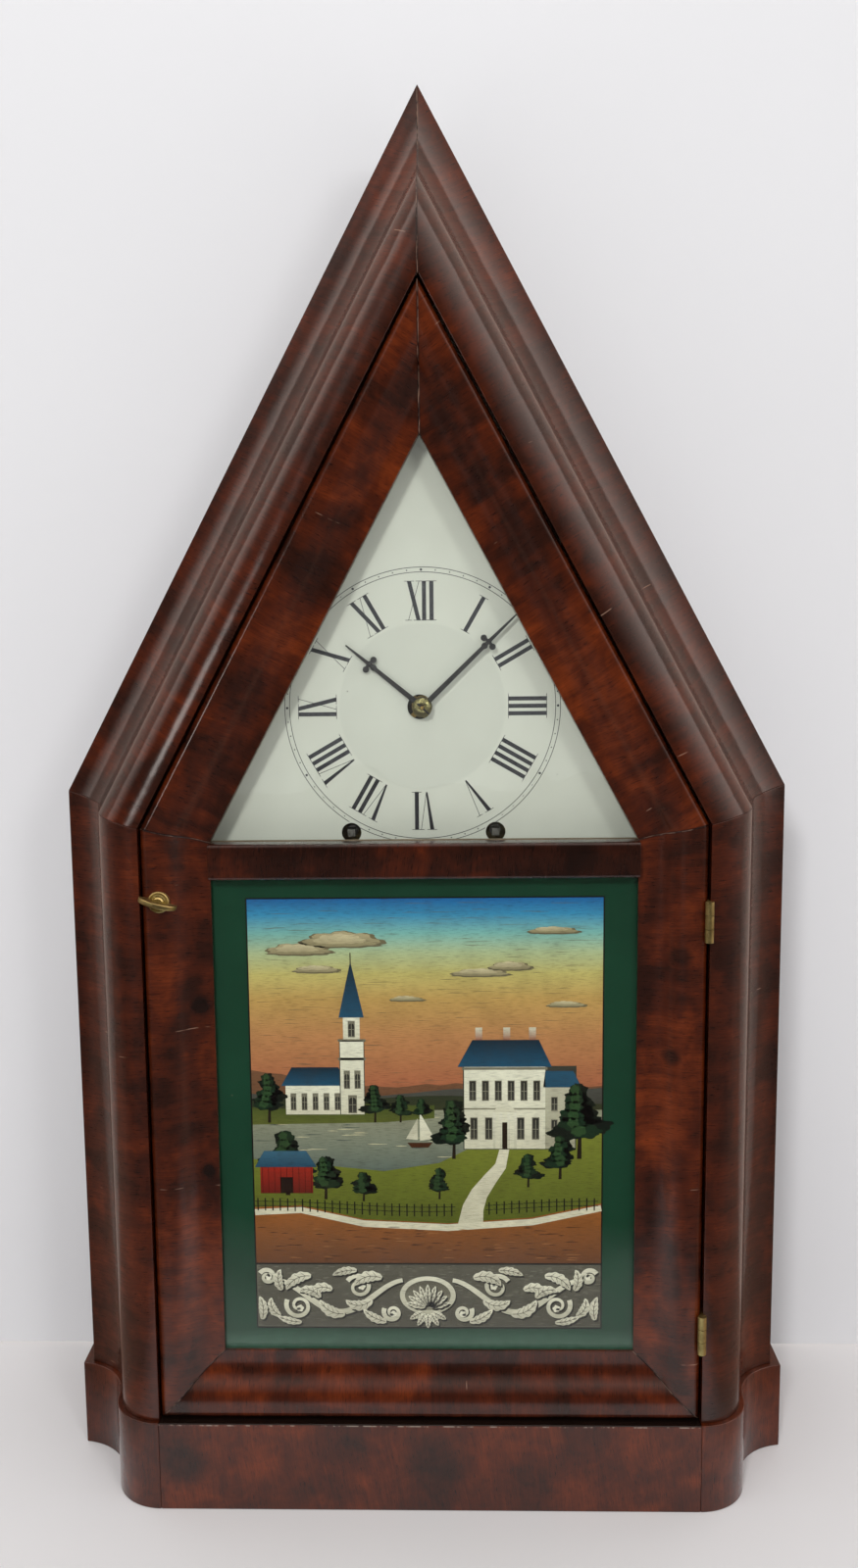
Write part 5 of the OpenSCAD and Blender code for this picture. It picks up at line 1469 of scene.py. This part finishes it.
def aim_camera(scene):
    """Sets the camera as it was fitted."""
    data = bpy.data.cameras.new("camera")
    data.sensor_width = 36
    data.lens = LENS
    data.shift_x, data.shift_y = SHIFT
    data.clip_start, data.clip_end = 0.01, 50
    look = Vector((-math.cos(PITCH) * math.sin(YAW), math.cos(PITCH) * math.cos(YAW), -math.sin(PITCH)))
    level = Vector((math.cos(YAW), math.sin(YAW), 0))
    up = Vector((-math.sin(PITCH) * math.sin(YAW), math.sin(PITCH) * math.cos(YAW), math.cos(PITCH)))
    right = math.cos(ROLL) * level - math.sin(ROLL) * up
    up = math.sin(ROLL) * level + math.cos(ROLL) * up
    turn = Matrix((right, up, -look)).transposed()
    camera = placed("camera", data)
    camera.matrix_world = Matrix.Translation((CAMERA[0], FRONT + CAMERA[1], CAMERA[2])) @ turn.to_4x4()
    scene.camera = camera


def floor_paper(stage):
    """The paper under the clock, with faint stains."""
    made, tree, shader = material("stage_floor", Roughness=0.6)
    at = tree.place()
    stain = tree.noise(at, 6.0, 3.0)
    tint = tree.mix(tree.span(stain, 0.3, 0.7, 0.0, 0.06), stage.floor, tone(190, 188, 186))
    # polished wood sees the paper only close to the clock, and the dim room past it
    where = tree.parts(at)
    mirrored = reflected(tree)
    dim = tree.times(mirrored, tree.span(where[1], FRONT - 0.11, FRONT - 0.3))
    beside = tree.span(tree.math("ABSOLUTE", where[0]), 0.17, 0.23)
    shown = tree.mix(tree.times(mirrored, beside), tint, tone(150, 116, 100))
    tree.put(shader.inputs["Base Color"], tree.mix(dim, shown, stage.room))
    return made


def wall_paper(stage):
    """The paper behind the clock, warmer where polish shows it."""
    made, tree, shader = material("stage_wall", Roughness=0.9)
    stain = tree.noise(tree.place(), 5.0, 3.0)
    tint = tree.mix(tree.span(stain, 0.3, 0.7, 0.0, 0.05), stage.wall_tone, tone(200, 201, 204))
    across = tree.span(tree.parts(tree.place())[0], -0.12, 0.12)
    warm = tree.mix(across, tone(182, 164, 154), tone(204, 182, 170))
    tree.put(shader.inputs["Base Color"], tree.mix(reflected(tree), tint, warm))
    through = tree.node("ShaderNodeBsdfTransparent").outputs[0]
    behind = tree.node("ShaderNodeNewGeometry").outputs["Backfacing"]
    # seen from behind, the backdrop is clear
    both = tree.shaders(behind, shader.outputs[0], through)
    tree.put(tree.tree.nodes["Material Output"].inputs[0], both)
    return made


def surroundings(scene, stage):
    """The pale room around the clock, and the brighter one that polish shows."""
    world = bpy.data.worlds.new("surroundings")
    world.use_nodes = True
    world.cycles.sampling_method = "NONE"
    scene.world = world
    tree = Tree(world.node_tree)
    # the way that a ray looks: to the right, to the back and up
    way = tree.parts(tree.node("ShaderNodeTexCoord").outputs["Generated"])
    front = tree.math("SUBTRACT", 0.0, way[1])
    # polish shows a pale wall on the right, a dark one on the left with a window in it, and light from above
    right = tree.span(way[0], -0.15, 0.15)
    above = tree.span(way[2], 0.0, 0.4)
    low = tree.span(right, 0.0, 1.0, stage.shine_left, stage.shine_right)
    side = tree.span(above, 0.0, 1.0, low, stage.shine_high)
    shine = tree.span(front, 0.0, tree.span(right, 0.0, 1.0, 0.42, 0.95), side, stage.shine_front)
    shine = tree.math("MAXIMUM", shine, tree.span(way[2], 0.3, 0.8, 0.0, 0.8))
    across = tree.span(tree.math("ABSOLUTE", tree.add(way[0], 0.55)), 0.05, 0.1, 1.0, 0.0)
    upright = tree.times(tree.span(way[2], 0.03, 0.1), tree.span(way[2], 0.1, 0.26, 1.0, 0.04))
    window = tree.times(tree.times(across, upright), tree.times(tree.span(front, 0.0, 0.1), stage.window))
    warm = tree.vector("SCALE", (1.0, 0.82, 0.74), scale=shine)
    lit = tree.vector("ADD", warm, tree.vector("SCALE", (1.0, 0.93, 0.88), scale=window))
    rays = tree.node("ShaderNodeLightPath").outputs
    plain = tree.mix(rays["Is Glossy Ray"], (stage.world, stage.world, stage.world, 1), lit)
    # the camera sees a plain backdrop, also through clear glass
    direct = tree.math("SUBTRACT", 1.0, tree.math("MINIMUM", rays["Diffuse Depth"], 1.0))
    seen = tree.math("MAXIMUM", rays["Is Camera Ray"], tree.times(rays["Is Transmission Ray"], direct))
    back = world.node_tree.nodes["Background"]
    tree.put(back.inputs[0], tree.mix(seen, plain, stage.wall_tone))


class CLOCK_OT_stage(bpy.types.Operator):
    """Set up the camera, the floor, the backdrop and the lamps"""
    bl_idname = "clock.stage"
    bl_label = "Stage"

    def execute(self, context):
        scene, stage = context.scene, context.scene.clock_stage
        aim_camera(scene)
        y, foot, top, r = BACK + stage.wall, 1.2 * MM, 2.4, REACH
        panel("floor", [(-r, -r, 0), (r, -r, 0), (r, r, 0), (-r, r, 0)], floor_paper(stage))
        panel("backdrop", [(-r, y, foot), (r, y, foot), (r, y, top), (-r, y, top)], wall_paper(stage))
        lamp("key_lamp", (-0.34, -1.5, 1.0), (0, 0, 0.36), 0.22, stage.key)
        lamp("fill_lamp", (0.62, -1.36, 0.86), (0, 0, 0.36), 0.3, stage.fill)
        lamp("top_lamp", (0.0, -0.35, 1.9), (0, 0, 0.2), 0.9, stage.top)
        surroundings(scene, stage)
        scene.view_settings.view_transform = "Standard"
        return {"FINISHED"}


class CLOCK_PT_panel(bpy.types.Panel):
    """Lists the pieces of the clock"""
    bl_label = "Steeple Clock"
    bl_idname = "CLOCK_PT_panel"
    bl_space_type = "VIEW_3D"
    bl_region_type = "UI"
    bl_category = "Clock"

    def draw(self, context):
        for name in STEPS:
            self.layout.operator(name)
        for group in SETTINGS:
            box = self.layout.box()
            data = getattr(context.scene, group)
            for key in data.__annotations__:
                box.prop(data, key)


SETTINGS = {"clock_case": ClockCase, "clock_door": ClockDoor, "clock_dial": ClockDial,
            "clock_finish": ClockFinish, "clock_stage": ClockStage}
OPERATORS = (CLOCK_OT_stage, CLOCK_OT_moulding, CLOCK_OT_plinth, CLOCK_OT_door, CLOCK_OT_dial, CLOCK_OT_tablet,
             CLOCK_OT_latch, CLOCK_OT_collet, CLOCK_OT_metals)
STEPS = [one.bl_idname for one in OPERATORS]
CLASSES = [*SETTINGS.values(), *OPERATORS, CLOCK_PT_panel]


def register():
    for one in CLASSES:
        bpy.utils.register_class(one)
    for name, group in SETTINGS.items():
        setattr(bpy.types.Scene, name, PointerProperty(type=group))


def unregister():
    for name in SETTINGS:
        delattr(bpy.types.Scene, name)
    for one in reversed(CLASSES):
        bpy.utils.unregister_class(one)


def main():
    register()
    for step in STEPS:
        area, name = step.split(".")
        getattr(getattr(bpy.ops, area), name)()


if __name__ == "__main__":
    main()
